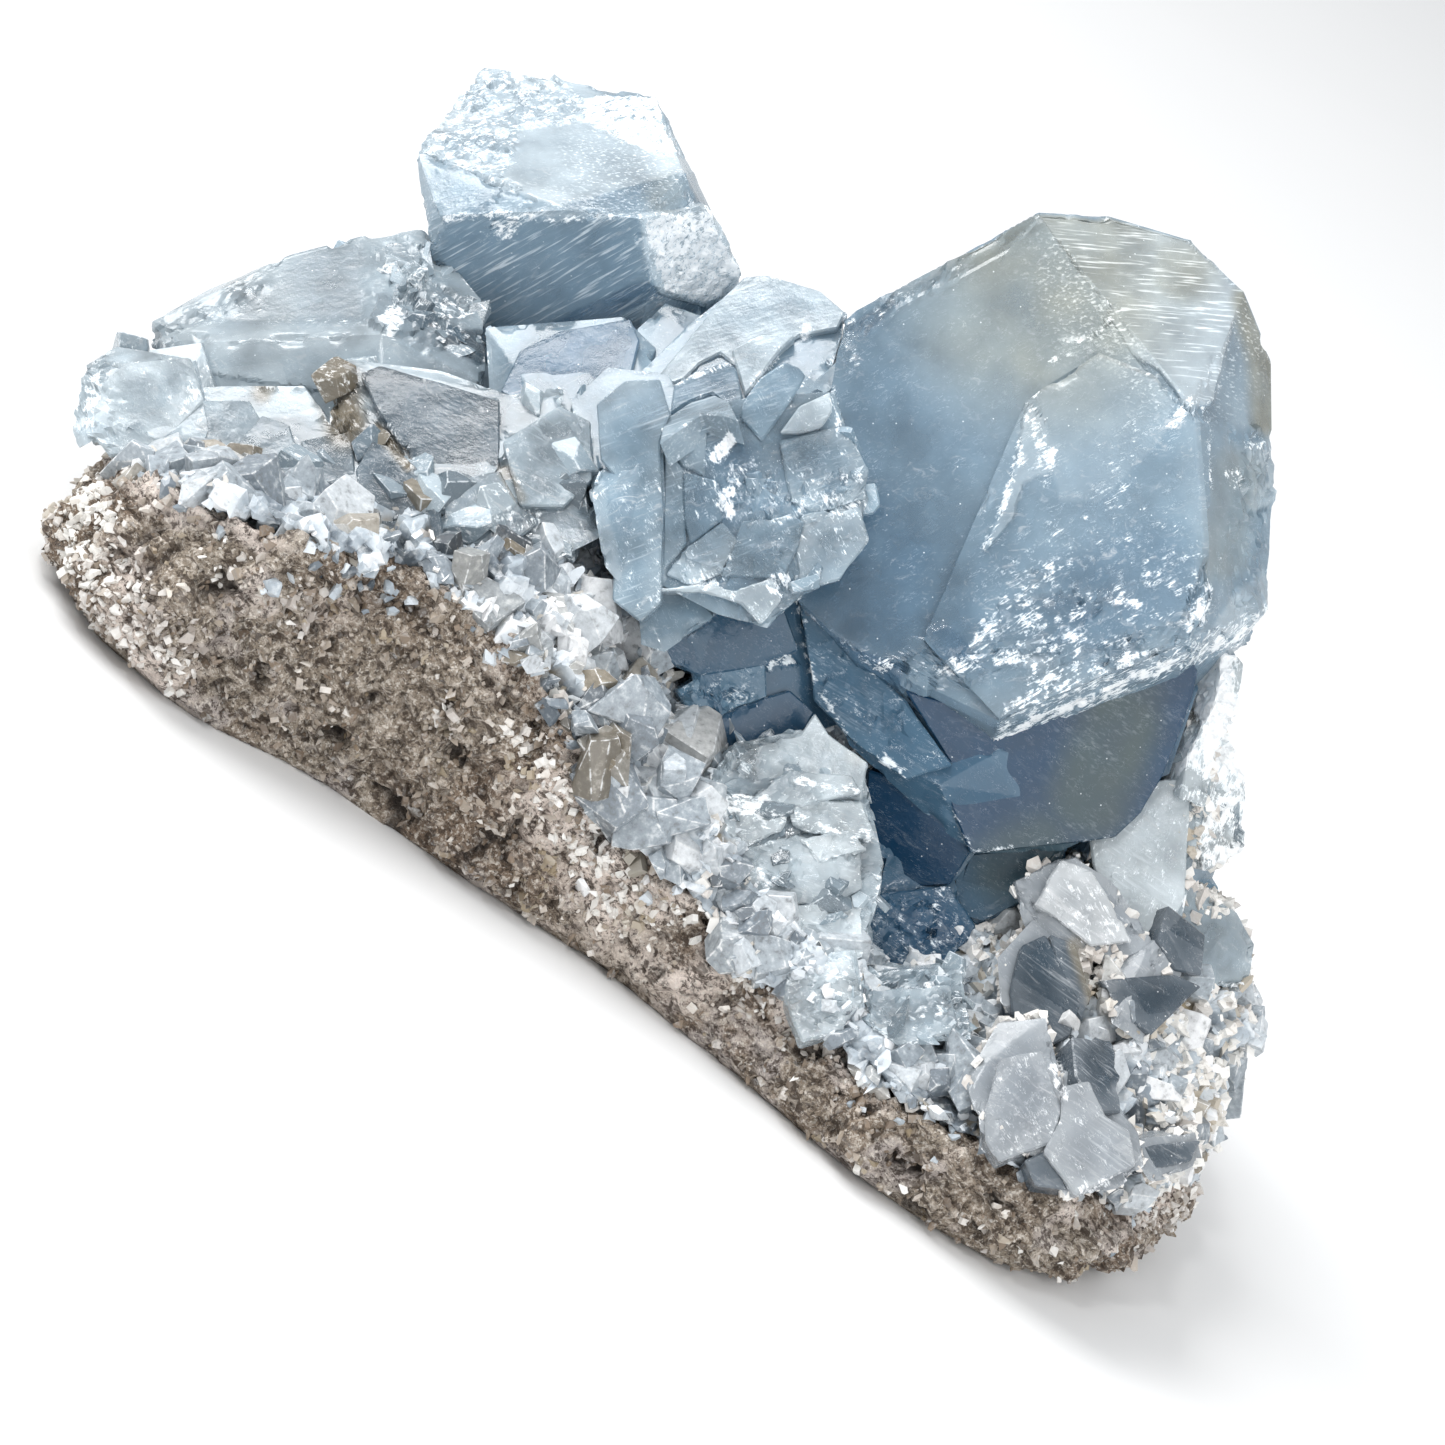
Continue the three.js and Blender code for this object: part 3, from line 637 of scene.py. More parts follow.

# What the crystals have in common. Waves, hackle and chips are (size, height) in mm, grain is the longest edge
# of the mesh and grow how far the surface stands off the solid. PaintedEdgeLight is painted light: how much
# paler the crystal is painted near its edges, as if lit through them. Edges is how frosted and white the edges
# are, partly chipped frost and partly painted glints along them; veins the cloudiness, streaks the way across
# and down the picture that frost runs, lineWay the face and the way of the striations.
crystalHabit = {
    "grain": 0.5, "grow": 0.08, "paintedEdgeLight": 0.3, "lineWay": None, "shelves": [], "white": [], "broken": [],
    "frost": [], "stain": [], "shade": [], "line": [],
}

# Marks are drawn in pixels of the picture; a shade below 0 is paler, above 0 deeper. A shelf is a part of a
# face: (height in mm, shade, slope across and down, outline). A plate stands on the crystal, as a slab with
# its thickness: (height in mm, shade, frost, outline). A white patch is (strength, outline). Broken, frost,
# stain, shade and line hold strokes: (width, strength, line).
crystalPlans = [
    {
        "node": "large_crystal", "slot": "celestite", "grain": 0.56, "seed": 11, "veins": 0.5,
        "waves": (14.0, 0.05), "hackle": (1.7, 0.5), "chips": (2.4, 0.3), "edges": 0.15, "paintedEdgeLight": 0.18,
        "streaks": (1.0, -0.55), "lineWay": ("largeTop", (1.0, 0.06)),
        "shelves": [
            (-0.10, 0.30, (0.0, 0.0), [
                (838, 332), (900, 300), (1030, 212), (1042, 213), (1008, 250), (962, 275), (905, 298),
                (868, 332),
            ]),
            (0.24, 0.0, (0.03, 0.0), [
                (1062, 342), (1027, 408), (1022, 440), (1012, 478), (1002, 512), (985, 548), (972, 575),
                (960, 610), (985, 640), (1100, 645), (1180, 620), (1205, 560), (1207, 430), (1175, 405),
                (1135, 362), (1110, 322), (1095, 340),
            ]),
            (0.24, -0.26, (0.0, 0.0), [
                (1040, 395), (1062, 345), (1095, 342), (1110, 324), (1135, 362), (1172, 404), (1160, 440),
                (1100, 500), (1060, 500), (1048, 440),
            ]),
            (0.34, -0.45, (0.0, 0.0), [
                (1027, 406), (1045, 425), (1050, 470), (1022, 482), (1010, 520), (985, 550), (1002, 512),
                (1018, 462),
            ]),
            # the top-right face, turned up to the light, is painted much paler: partly its own paler colour,
            # partly painted light
            (0.0, -0.95, (0.0, 0.05), [
                (1040, 213), (1085, 216), (1150, 220), (1200, 242), (1241, 290), (1235, 315), (1213, 400),
                (1188, 408), (1160, 370), (1135, 356), (1120, 330), (1095, 290), (1070, 255),
            ]),
            (-0.05, -0.20, (0.08, 0.0), [
                (1235, 318), (1243, 340), (1250, 400), (1243, 440), (1232, 500), (1206, 600), (1206, 420),
                (1214, 390),
            ]),
            (-0.15, 0.22, (0.0, 0.0), [(998, 606), (1060, 594), (1100, 610), (1060, 642), (1003, 642)]),
            (0.30, -0.15, (0.1, 0.1), [
                (893, 655), (915, 640), (928, 642), (935, 655), (930, 690), (905, 692), (890, 670),
            ]),
            (0.12, 0.30, (-0.1, 0.0), [
                (930, 630), (945, 627), (965, 640), (976, 655), (950, 663), (935, 650),
            ]),
            # the deep lower-left facet is partly the crystal's own blue and partly painted shade, light fading
            # through the block
            (0.0, 0.62, (0.0, 0.1), [
                (795, 600), (820, 632), (850, 648), (905, 668), (895, 695), (860, 702), (826, 684),
                (803, 642),
            ]),
            (0.25, -0.5, (0.0, 0.0), [(1250, 442), (1268, 440), (1275, 500), (1252, 510), (1245, 470)]),
            (0.15, -0.45, (0.0, 0.0), [(1240, 590), (1262, 570), (1275, 610), (1230, 635), (1215, 622)]),
        ],
        "white": [
            (0.6, [
                (998, 601), (1015, 585), (1030, 565), (1060, 556), (1074, 565), (1050, 582), (1010, 602),
            ]),
            (0.60, [
                (985, 750), (1005, 705), (1060, 663), (1100, 658), (1150, 648), (1210, 628), (1268, 600),
                (1266, 636), (1190, 668), (1100, 705), (1010, 752),
            ]),
            (0.6, [(985, 606), (999, 603), (1001, 632), (985, 652), (963, 662), (970, 640)]),
            (0.7, [(932, 668), (960, 654), (1030, 650), (1040, 664), (990, 668), (960, 677), (935, 680)]),
            (0.45, [(1022, 640), (1090, 636), (1110, 660), (1060, 664), (1035, 690), (1020, 700)]),
            (0.75, [(1180, 640), (1190, 612), (1208, 575), (1214, 592), (1205, 625)]),
            (0.65, [(1027, 408), (1042, 420), (1040, 436), (1025, 424)]),
        ],
        "broken": [
            (26, 1.0, [(910, 668), (960, 668), (1010, 655), (1060, 650), (1120, 655), (1180, 640)]),
            (22, 0.7, [(1010, 620), (1070, 600), (1130, 600)]),
            (26, 1.0, [(1245, 440), (1255, 480), (1245, 560), (1250, 600)]),
            (14, 0.7, [(845, 335), (905, 295), (960, 262)]),
        ],
        "frost": [
            (9, 0.95, [(1000, 738), (1030, 722), (1100, 692), (1190, 655), (1262, 622)]),
            (12, 0.7, [(1040, 700), (1080, 672), (1130, 660)]),
            (13, 0.7, [(1030, 410), (1040, 440), (1046, 480)]),
            (8, 0.8, [(1022, 440), (1012, 480), (1000, 515), (985, 548)]),
            (5, 0.9, [(1062, 340), (1083, 342), (1098, 333), (1111, 319)]),
            (6, 0.6, [(1050, 360), (1080, 352), (1105, 350)]), (14, 0.75, [(866, 655), (885, 665)]),
            (9, 0.8, [(1020, 460), (1050, 470), (1052, 452)]),
            (10, 0.75, [(1206, 405), (1208, 465), (1207, 490)]),
            (12, 0.85, [(1172, 425), (1183, 412), (1190, 405)]), (11, 0.8, [(1231, 472), (1236, 482)]),
            (10, 0.7, [(1247, 445), (1255, 440), (1268, 460)]),
            (14, 0.6, [(840, 333), (880, 316), (906, 293)]), (20, 0.5, [(833, 335), (855, 362)]),
            (9, 0.6, [(830, 389), (846, 449), (866, 488), (873, 508)]),
            (7, 0.6, [(793, 585), (813, 618), (850, 648)]), (12, 0.6, [(1085, 498), (1100, 490)]),
            (7, 0.6, [(1060, 522), (1100, 515), (1120, 500)]), (8, 0.6, [(1165, 490), (1180, 478)]),
            (70, 0.42, [(1020, 580), (1080, 540), (1150, 560)]),
            (60, 0.60, [(1020, 625), (1110, 620), (1180, 590)]), (30, 0.45, [(1110, 460), (1150, 430)]),
            (26, 0.5, [(1060, 520), (1120, 490)]),
        ],
        "stain": [
            (34, 0.35, [(1235, 470), (1225, 560)]), (60, 0.70, [(1180, 270)]),
            (60, 0.5, [(1090, 250), (1130, 300)]), (190, 0.78, [(1045, 230), (1050, 290)]),
            (90, 0.4, [(1000, 330)]), (24, 1.0, [(1247, 300), (1262, 360), (1266, 420)]),
        ],
        "shade": [
            # deeper towards the lower left: partly the crystal's own blue, partly painted shade of light fading
            # through it
            (190, 0.72, [(860, 590)]), (80, 0.35, [(838, 345), (832, 420), (845, 470)]),
            (90, 0.6, [(930, 625)]), (160, 0.35, [(890, 430)]), (120, 0.10, [(1000, 300), (940, 360)]),
            (80, 0.45, [(1100, 605), (1150, 580)]), (120, 0.32, [(1030, 270)]),
            (60, 0.05, [(1230, 420), (1240, 560)]),
        ],
        "line": [(130, 1.0, [(1120, 270), (1210, 300)]), (50, 0.8, [(1150, 380), (1210, 390)])],
    },
    {
        "node": "upper_crystal", "slot": "celestite", "seed": 23, "veins": 0.5, "waves": (10.0, 0.05),
        "hackle": (1.6, 0.55), "chips": (2.0, 0.4), "edges": 0.25, "streaks": (1.0, -0.45),
        "lineWay": ("upperFront", (1.0, -0.48)),
        "shelves": [
            (0.0, -0.55, (0.0, 0.0), [
                (405, 155), (440, 105), (475, 62), (505, 52), (560, 76), (600, 96), (600, 122), (522, 134),
                (504, 190), (420, 162),
            ]),
            # the top panel, turned up to the light, is painted pale: partly its own colour, partly painted
            # light
            (0.0, -0.8, (0.0, 0.04), [
                (520, 130), (585, 120), (660, 118), (692, 172), (562, 206), (500, 186), (514, 160),
            ]),
            (0.0, -0.05, (-0.1, 0.0), [
                (415, 150), (500, 184), (494, 202), (450, 212), (430, 250), (418, 200),
            ]),
            (0.0, 0.12, (0.0, -0.1), [
                (563, 208), (692, 173), (702, 205), (690, 212), (640, 210), (600, 213),
            ]),
            # the front, turned down from the light, is painted deeper: partly its own colour, partly painted
            # shade
            (0.15, 0.34, (0.0, 0.0), [
                (428, 255), (445, 222), (490, 203), (502, 217), (640, 219), (645, 255), (648, 284),
                (560, 322), (480, 330), (440, 285),
            ]),
            (0.0, 1.0, (0.0, 0.0), [
                (556, 322), (600, 301), (646, 282), (662, 296), (620, 314), (590, 325),
            ]),
            (0.35, -0.9, (0.1, 0.0), [
                (643, 216), (700, 206), (745, 285), (700, 303), (660, 292), (646, 255),
            ]),
        ],
        "white": [
            (0.55, [
                (410, 152), (440, 112), (475, 68), (505, 58), (560, 80), (582, 98), (590, 120), (522, 130),
                (514, 160), (504, 184), (420, 157),
            ]),
            (0.85, [(644, 218), (700, 208), (745, 285), (700, 302), (664, 290), (647, 255)]),
            (0.8, [(582, 98), (665, 92), (690, 160), (640, 150), (590, 125)]),
            (0.7, [(485, 222), (505, 218), (530, 222), (515, 236), (500, 238)]),
        ],
        "broken": [
            (36, 0.35, [(665, 235), (710, 280)]), (40, 0.9, [(470, 100), (540, 90)]),
            (24, 0.7, [(430, 150), (500, 150)]),
        ],
        "frost": [
            (6, 0.8, [(445, 218), (500, 214), (560, 220), (640, 214)]), (10, 0.6, [(485, 232), (510, 235)]),
            (10, 0.8, [(655, 300), (700, 290)]),
        ],
        "stain": [(30, 0.30, [(665, 195)])],
        "line": [(120, 1.0, [(480, 270), (620, 270)]), (60, 0.8, [(600, 160), (660, 160)])],
    },
    {
        "node": "left_crystal", "slot": "pale_celestite", "seed": 31, "veins": 0.6, "waves": (12.0, 0.06),
        "hackle": (1.8, 0.5), "chips": (2.0, 0.4), "edges": 0.3, "streaks": (1.0, -0.35),
        "shelves": [
            (0.0, 0.10, (0.0, -0.08), [
                (140, 345), (190, 306), (260, 270), (360, 232), (375, 250), (362, 320), (200, 325),
                (160, 338),
            ]),
            (0.12, -0.12, (0.0, 0.05), [
                (150, 350), (165, 335), (200, 325), (362, 322), (392, 342), (350, 360), (330, 392),
                (200, 372), (160, 368),
            ]),
            (0.35, 0.0, (0.1, 0.0), [
                (366, 244), (420, 234), (432, 262), (412, 300), (380, 300), (362, 290),
            ]),
            (0.2, 0.3, (-0.1, 0.1), [
                (380, 300), (412, 300), (440, 286), (472, 310), (440, 322), (395, 336), (372, 326),
            ]),
            (0.1, 0.9, (0.0, 0.0), [(450, 334), (498, 330), (506, 352), (478, 364), (456, 352)]),
        ],
        "white": [
            (0.75, [(378, 322), (396, 300), (408, 320), (398, 342), (384, 338)]),
            (0.75, [(430, 300), (468, 300), (475, 318), (440, 322)]),
        ],
        "broken": [(40, 0.9, [(400, 270), (430, 330)]), (16, 0.5, [(160, 345), (200, 315), (260, 285)])],
        "frost": [
            (34, 0.5, [(400, 260), (450, 320)]), (9, 0.6, [(158, 345), (180, 352)]),
            (12, 0.5, [(200, 318), (260, 305)]), (7, 0.5, [(270, 322), (370, 322)]),
        ],
        "stain": [(60, 0.15, [(260, 300)])],
        "shade": [(40, 0.35, [(430, 345), (480, 372)])],
    },
    {
        "node": "centre_crystals", "slot": "celestite", "grain": 0.52, "seed": 41, "veins": 0.7,
        "waves": (10.0, 0.08), "hackle": (1.3, 0.4), "chips": (1.6, 0.4), "edges": 0.3,
        "streaks": (0.6, 1.0), "lineWay": ("largeFront", (1.0, -0.35)), "thickness": 2.2,
        "shelves": [(0.0, 0.2, (0.0, 0.0), [(500, 320), (900, 260), (880, 600), (640, 640), (590, 420)])],
        "plates": [
            (0.0, 1.1, 0.0, [
                (560, 330), (630, 318), (640, 340), (632, 372), (600, 400), (540, 412), (500, 392),
                (520, 350),
            ]),
            (0.2, 0.10, 0.10, [
                (596, 404), (625, 380), (660, 378), (670, 412), (660, 442), (662, 520), (660, 602),
                (640, 622), (612, 600), (618, 480), (600, 460),
            ]),
            (0.5, -0.45, 0.12, [
                (655, 378), (720, 300), (745, 276), (765, 274), (820, 290), (845, 312), (838, 328),
                (800, 335), (780, 350), (760, 376), (745, 396), (736, 366), (720, 353), (700, 363),
                (684, 379), (674, 383),
            ]),
            (0.9, -0.50, 0.15, [
                (745, 396), (737, 368), (731, 350), (760, 334), (796, 335), (780, 350), (760, 376),
            ]),
            (1.1, 0.50, 0.0, [
                (674, 384), (684, 379), (720, 363), (736, 367), (743, 398), (738, 412), (721, 400),
                (712, 393), (690, 401), (671, 413),
            ]),
            (0.8, -0.10, 0.1, [
                (663, 420), (690, 402), (715, 394), (728, 400), (738, 420), (722, 414), (700, 414),
                (680, 428), (659, 443),
            ]),
            (0.5, 0.25, 0.1, [
                (659, 443), (680, 428), (700, 414), (722, 414), (733, 434), (712, 429), (695, 438),
                (674, 453),
            ]),
            (0.25, 0.0, 0.1, [(674, 453), (695, 438), (706, 431), (704, 478), (694, 471), (682, 467)]),
            (0.4, 0.40, 0.05, [
                (743, 402), (760, 378), (785, 362), (800, 368), (806, 376), (795, 395), (780, 416),
                (762, 442), (750, 428), (740, 418),
            ]),
            (0.7, 0.0, 0.1, [
                (787, 360), (806, 374), (815, 380), (838, 360), (842, 380), (830, 392), (800, 408),
                (780, 426), (763, 444), (780, 416), (800, 386),
            ]),
            (0.9, -0.50, 0.2, [(780, 433), (800, 406), (830, 392), (833, 411), (822, 427), (800, 433)]),
            (0.5, 0.20, 0.1, [(683, 472), (716, 480), (722, 520), (690, 545), (684, 520)]),
            (0.5, 0.0, 0.15, [(664, 442), (683, 470), (686, 545), (662, 572), (664, 500)]),
            (0.35, 0.25, 0.10, [(742, 520), (800, 514), (800, 545), (782, 580), (720, 576), (735, 540)]),
            (0.8, -0.60, 0.4, [
                (655, 590), (700, 591), (742, 604), (760, 624), (782, 600), (770, 578), (735, 590),
                (700, 584),
            ]),
            (0.3, 0.10, 0.2, [(780, 440), (845, 425), (870, 470), (865, 500), (815, 515), (790, 500)]),
            (0.25, -0.10, 0.35, [(800, 515), (860, 505), (870, 540), (840, 580), (800, 590), (795, 550)]),
            (0.4, -0.20, 0.3, [(690, 545), (722, 522), (738, 540), (720, 575), (690, 585), (665, 575)]),
        ],
        "white": [
            (1.0, [(708, 462), (716, 444), (733, 428), (737, 440), (730, 458), (716, 464)]),
            (0.9, [(720, 488), (732, 484), (741, 516), (728, 522), (718, 505)]),
            (0.75, [(684, 576), (710, 572), (722, 584), (708, 592), (688, 586)]),
            (0.7, [(762, 586), (782, 568), (795, 574), (786, 598), (768, 600)]),
            (0.8, [(800, 322), (816, 326), (812, 342), (800, 340)]),
            (0.7, [(842, 512), (860, 508), (862, 520), (848, 524)]),
        ],
        "broken": [
            (34, 1.0, [(740, 490), (800, 510), (850, 490)]), (20, 0.7, [(780, 560), (790, 575)]),
            (26, 0.6, [(690, 570), (720, 580)]),
        ],
        "frost": [
            (60, 0.5, [(700, 480), (780, 500), (850, 520)]), (50, 0.4, [(690, 570), (770, 560)]),
            (40, 0.4, [(640, 500), (640, 580)]), (5, 0.9, [(674, 383), (684, 380), (735, 362)]),
            (5, 0.8, [(745, 396), (760, 376), (780, 358)]), (4, 0.8, [(800, 388), (812, 372), (838, 355)]),
            (5, 0.8, [(713, 482), (722, 498), (728, 520)]), (30, 0.45, [(780, 470), (850, 500)]),
            (24, 0.45, [(650, 480), (650, 600)]), (12, 0.6, [(812, 500), (850, 516)]),
            (8, 0.7, [(829, 390), (843, 446)]), (9, 0.8, [(845, 455), (860, 480)]),
            (16, 0.5, [(620, 480), (650, 500)]), (30, 0.3, [(700, 555), (780, 560)]),
        ],
        "line": [(50, 0.5, [(690, 420), (720, 400)])],
        "shade": [
            (60, 0.3, [(700, 520)]), (40, -0.2, [(625, 395)]), (30, 0.4, [(740, 460)]),
            (40, 0.25, [(800, 455)]),
        ],
    },
    {
        "node": "fractured_crystals", "slot": "pale_celestite", "grain": 0.44, "seed": 53, "grow": 0.10,
        "veins": 1.0, "waves": (6.0, 0.1), "hackle": (1.1, 0.3), "chips": (1.4, 0.5), "edges": 0.4,
        "streaks": (1.0, 0.1), "lineWay": ("largeFront", (1.0, 0.3)), "thickness": 2.0,
        "shelves": [(0.0, 0.1, (0.0, 0.0), [(620, 700), (900, 700), (980, 1060), (760, 1060)])],
        "plates": [
            (0.1, -0.35, 0.25, [
                (735, 762), (750, 748), (800, 735), (815, 712), (830, 735), (868, 762), (862, 800),
                (820, 792), (770, 797), (740, 790),
            ]),
            (0.3, -0.75, 0.6, [(698, 800), (745, 793), (792, 800), (782, 830), (742, 847), (700, 842)]),
            (0.7, -0.5, 0.35, [(790, 798), (862, 802), (876, 838), (830, 836), (795, 826)]),
            (0.4, -0.30, 0.2, [
                (738, 852), (790, 836), (860, 846), (864, 890), (822, 906), (760, 902), (735, 880),
            ]),
            (0.5, -0.60, 0.5, [(690, 846), (735, 850), (737, 892), (700, 918), (672, 890)]),
            (0.6, -0.60, 0.4, [(790, 905), (862, 900), (864, 955), (830, 966), (800, 960)]),
            (0.2, -0.60, 0.5, [(735, 900), (792, 905), (796, 950), (760, 966), (735, 940)]),
            (0.2, 0.30, 0.1, [(640, 800), (682, 790), (686, 845), (655, 852), (638, 830)]),
            (0.5, -0.30, 0.3, [(684, 800), (702, 795), (706, 842), (686, 850)]),
            (0.2, -0.50, 0.5, [(640, 860), (690, 850), (702, 890), (652, 902)]),
            (0.4, -0.40, 0.4, [(788, 970), (850, 958), (864, 1000), (842, 1030), (802, 1042), (784, 1000)]),
            (0.5, -0.05, 0.1, [(872, 990), (950, 984), (958, 1030), (902, 1046), (868, 1026)]),
            (0.3, -0.35, 0.4, [(800, 1034), (860, 1002), (882, 1042), (852, 1056), (812, 1052)]),
            (0.9, -0.30, 0.3, [(748, 800), (790, 770), (852, 775), (862, 792), (800, 806)]),
            (0.9, -0.50, 0.3, [(800, 840), (850, 830), (868, 850), (820, 862)]),
        ],
        "white": [
            (0.8, [(700, 800), (770, 795), (790, 812), (740, 818), (710, 825)]),
            (0.6, [(690, 840), (730, 830), (725, 880), (700, 900)]),
        ],
        "broken": [(120, 1.0, [(740, 800), (800, 900)]), (60, 1.0, [(840, 1000), (960, 1010)])],
        "frost": [
            (70, 0.35, [(700, 800), (740, 900)]), (9, 0.8, [(800, 782), (860, 790)]),
            (10, 0.7, [(780, 812), (830, 830), (868, 838)]), (24, 0.6, [(780, 960), (850, 950)]),
            (40, 0.5, [(860, 1030), (960, 1020)]),
        ],
        "stain": [(16, 0.3, [(855, 755)])],
        "shade": [(50, 0.30, [(900, 1000), (930, 1000)])],
    },
    {
        "node": "dark_crystals", "slot": "dark_celestite", "grain": 0.54, "seed": 61, "veins": 0.3,
        "waves": (12.0, 0.05), "hackle": (1.4, 0.5), "chips": (2.0, 0.25), "edges": 0.25, "paintedEdgeLight": 0.12,
        "streaks": (1.0, 0.6), "lineWay": ("largeFront", (1.0, 0.6)), "thickness": 2.6,
        "plates": [
            (0.2, 0.25, 0.05, [
                (655, 655), (720, 608), (782, 603), (800, 650), (768, 666), (700, 676), (676, 666),
            ]),
            (0.1, -0.45, 0.3, [(676, 690), (700, 676), (765, 660), (768, 698), (720, 716), (690, 712)]),
            (0.4, 0.55, 0.0, [
                (692, 738), (740, 705), (790, 690), (815, 712), (800, 736), (750, 746), (702, 756),
            ]),
            (0.5, -0.05, 0.3, [
                (800, 605), (850, 650), (905, 700), (952, 766), (905, 780), (850, 740), (814, 700),
            ]),
            (0.1, 1.0, 0.0, [
                (868, 770), (905, 782), (942, 786), (970, 853), (950, 885), (880, 890), (862, 850),
            ]),
            (0.3, 1.1, 0.0, [
                (905, 690), (1000, 718), (1064, 700), (1185, 648), (1199, 672), (1192, 700), (1178, 740),
                (1163, 776), (1140, 814), (1115, 838), (1050, 846), (970, 854), (945, 790), (952, 766),
            ]),
            (0.0, 0.30, 0.0, [
                (970, 854), (1062, 844), (1040, 876), (1010, 900), (1000, 916), (975, 926), (955, 896),
            ]),
            (0.9, 0.5, 0.5, [
                (866, 895), (950, 885), (958, 900), (976, 926), (950, 966), (900, 980), (864, 950),
            ]),
        ],
        "white": [
            (1.0, [(765, 660), (789, 653), (797, 664), (768, 673)]),
            (0.55, [(720, 690), (745, 684), (752, 706), (728, 714)]),
            (0.6, [(655, 662), (690, 662), (684, 676), (660, 676)]),
        ],
        "broken": [
            (46, 0.9, [(900, 920), (950, 950)]), (26, 0.7, [(700, 695), (740, 700)]),
            (36, 0.5, [(840, 690), (900, 730)]),
        ],
        "frost": [
            (16, 0.55, [(690, 690), (750, 690)]),
            (5, 0.8, [(796, 610), (812, 680), (850, 738), (905, 776)]), (6, 0.8, [(900, 772), (885, 756)]),
            (26, 0.5, [(880, 920), (950, 940)]), (14, 0.5, [(850, 700), (880, 725)]),
            (4, 0.7, [(942, 790), (972, 850)]), (4, 0.6, [(972, 852), (1070, 838)]),
        ],
        "stain": [
            (60, 0.8, [(1090, 800), (1120, 720)]), (60, 0.6, [(1010, 870), (1040, 850)]),
            (50, 0.6, [(1130, 690)]), (30, 0.5, [(1100, 810)]),
        ],
        "shade": [(60, -0.25, [(1110, 740), (1120, 690)])],
    },
    {
        "node": "right_crystals", "slot": "pale_celestite", "seed": 71, "veins": 0.6, "waves": (9.0, 0.06),
        "hackle": (1.4, 0.45), "chips": (1.6, 0.5), "edges": 0.4, "streaks": (-0.35, 1.0), "thickness": 2.2,
        "plates": [
            (0.3, -0.90, 0.35, [
                (1090, 840), (1112, 828), (1150, 780), (1182, 778), (1190, 800), (1184, 900), (1160, 950),
                (1140, 930), (1110, 900), (1094, 870),
            ]),
            (0.5, -1.0, 0.8, [
                (1140, 712), (1160, 660), (1200, 640), (1222, 650), (1216, 700), (1190, 750), (1180, 800),
                (1150, 770),
            ]),
            (0.2, -1.0, 1.0, [
                (1200, 720), (1216, 700), (1246, 780), (1242, 850), (1204, 872), (1190, 800),
            ]),
            (0.5, 0.45, 0.2, [(1216, 800), (1240, 800), (1244, 846), (1218, 852)]),
        ],
        "white": [
            (1.0, [(1195, 650), (1235, 655), (1240, 770), (1205, 780), (1195, 700)]),
            (0.7, [(1170, 640), (1190, 632), (1185, 720), (1160, 760)]),
            (0.6, [(1220, 740), (1245, 760), (1240, 860), (1215, 880)]),
        ],
        "broken": [(50, 0.8, [(1215, 700), (1225, 860)])],
        "frost": [(30, 0.5, [(1200, 680), (1215, 760)]), (30, 0.5, [(1230, 800), (1225, 880)])],
        "stain": [(14, 0.7, [(1195, 715), (1165, 712)]), (20, 0.3, [(1230, 850)])],
        "shade": [(40, -0.6, [(1215, 660), (1215, 760)]), (24, 0.4, [(1237, 830)])],
    },
    {
        "node": "end_crystals", "slot": "pale_celestite", "grain": 0.54, "seed": 83, "veins": 0.9,
        "waves": (8.0, 0.1), "hackle": (1.6, 0.5), "chips": (1.6, 0.5), "edges": 0.35,
        "streaks": (0.3, 1.0), "thickness": 1.2,
        "shelves": [(0.0, 0.45, (0.0, 0.0), [(200, 430), (600, 380), (600, 560), (200, 560)])],
        "plates": [
            (0.3, -0.20, 0.2, [
                (88, 430), (100, 385), (125, 362), (190, 357), (204, 400), (180, 426), (140, 453),
                (110, 456),
            ]),
            (0.2, 0.35, 0.1, [
                (140, 452), (180, 425), (203, 400), (250, 400), (262, 420), (245, 450), (215, 470),
                (200, 490), (160, 485),
            ]),
            (0.25, 0.45, 0.1, [
                (230, 452), (262, 414), (290, 424), (302, 470), (280, 500), (240, 502), (222, 472),
            ]),
            (0.3, 1.3, 0.0, [
                (360, 372), (380, 364), (500, 400), (500, 470), (470, 492), (430, 481), (405, 455),
                (375, 406),
            ]),
            (0.6, 1.1, 0.1, [
                (372, 440), (400, 450), (430, 480), (434, 506), (395, 521), (362, 511), (355, 470),
            ]),
            (0.8, 1.2, 0.1, [(350, 520), (395, 520), (440, 506), (446, 550), (405, 562), (368, 560)]),
            (0.6, 0.15, 0.2, [(503, 440), (560, 405), (591, 420), (593, 480), (565, 506), (520, 506)]),
            (0.5, 0.60, 0.25, [(438, 482), (500, 470), (520, 505), (541, 520), (505, 550), (450, 541)]),
            (0.3, 0.75, 0.1, [(300, 440), (350, 430), (357, 480), (310, 492)]),
            (0.3, 0.0, 0.3, [(92, 456), (150, 470), (196, 492), (180, 520), (120, 510), (92, 488)]),
        ],
        "white": [
            (0.7, [(84, 380), (110, 355), (96, 430), (80, 430)]),
            (0.6, [(186, 380), (202, 372), (206, 404), (178, 420)]),
            (0.5, [(500, 500), (560, 510), (540, 530), (510, 530)]),
        ],
        "broken": [
            (34, 1.0, [(338, 385), (345, 425)]), (36, 0.7, [(100, 380), (90, 470)]),
            (16, 1.0, [(345, 395), (350, 425)]), (14, 0.9, [(385, 430), (408, 462)]),
        ],
        "frost": [
            (12, 0.6, [(200, 375), (205, 440)]), (10, 0.6, [(380, 415), (410, 465)]),
            (20, 0.4, [(480, 470), (540, 490)]), (24, 0.35, [(240, 380), (290, 400)]),
            (7, 0.6, [(296, 440), (300, 500)]),
        ],
        "stain": [
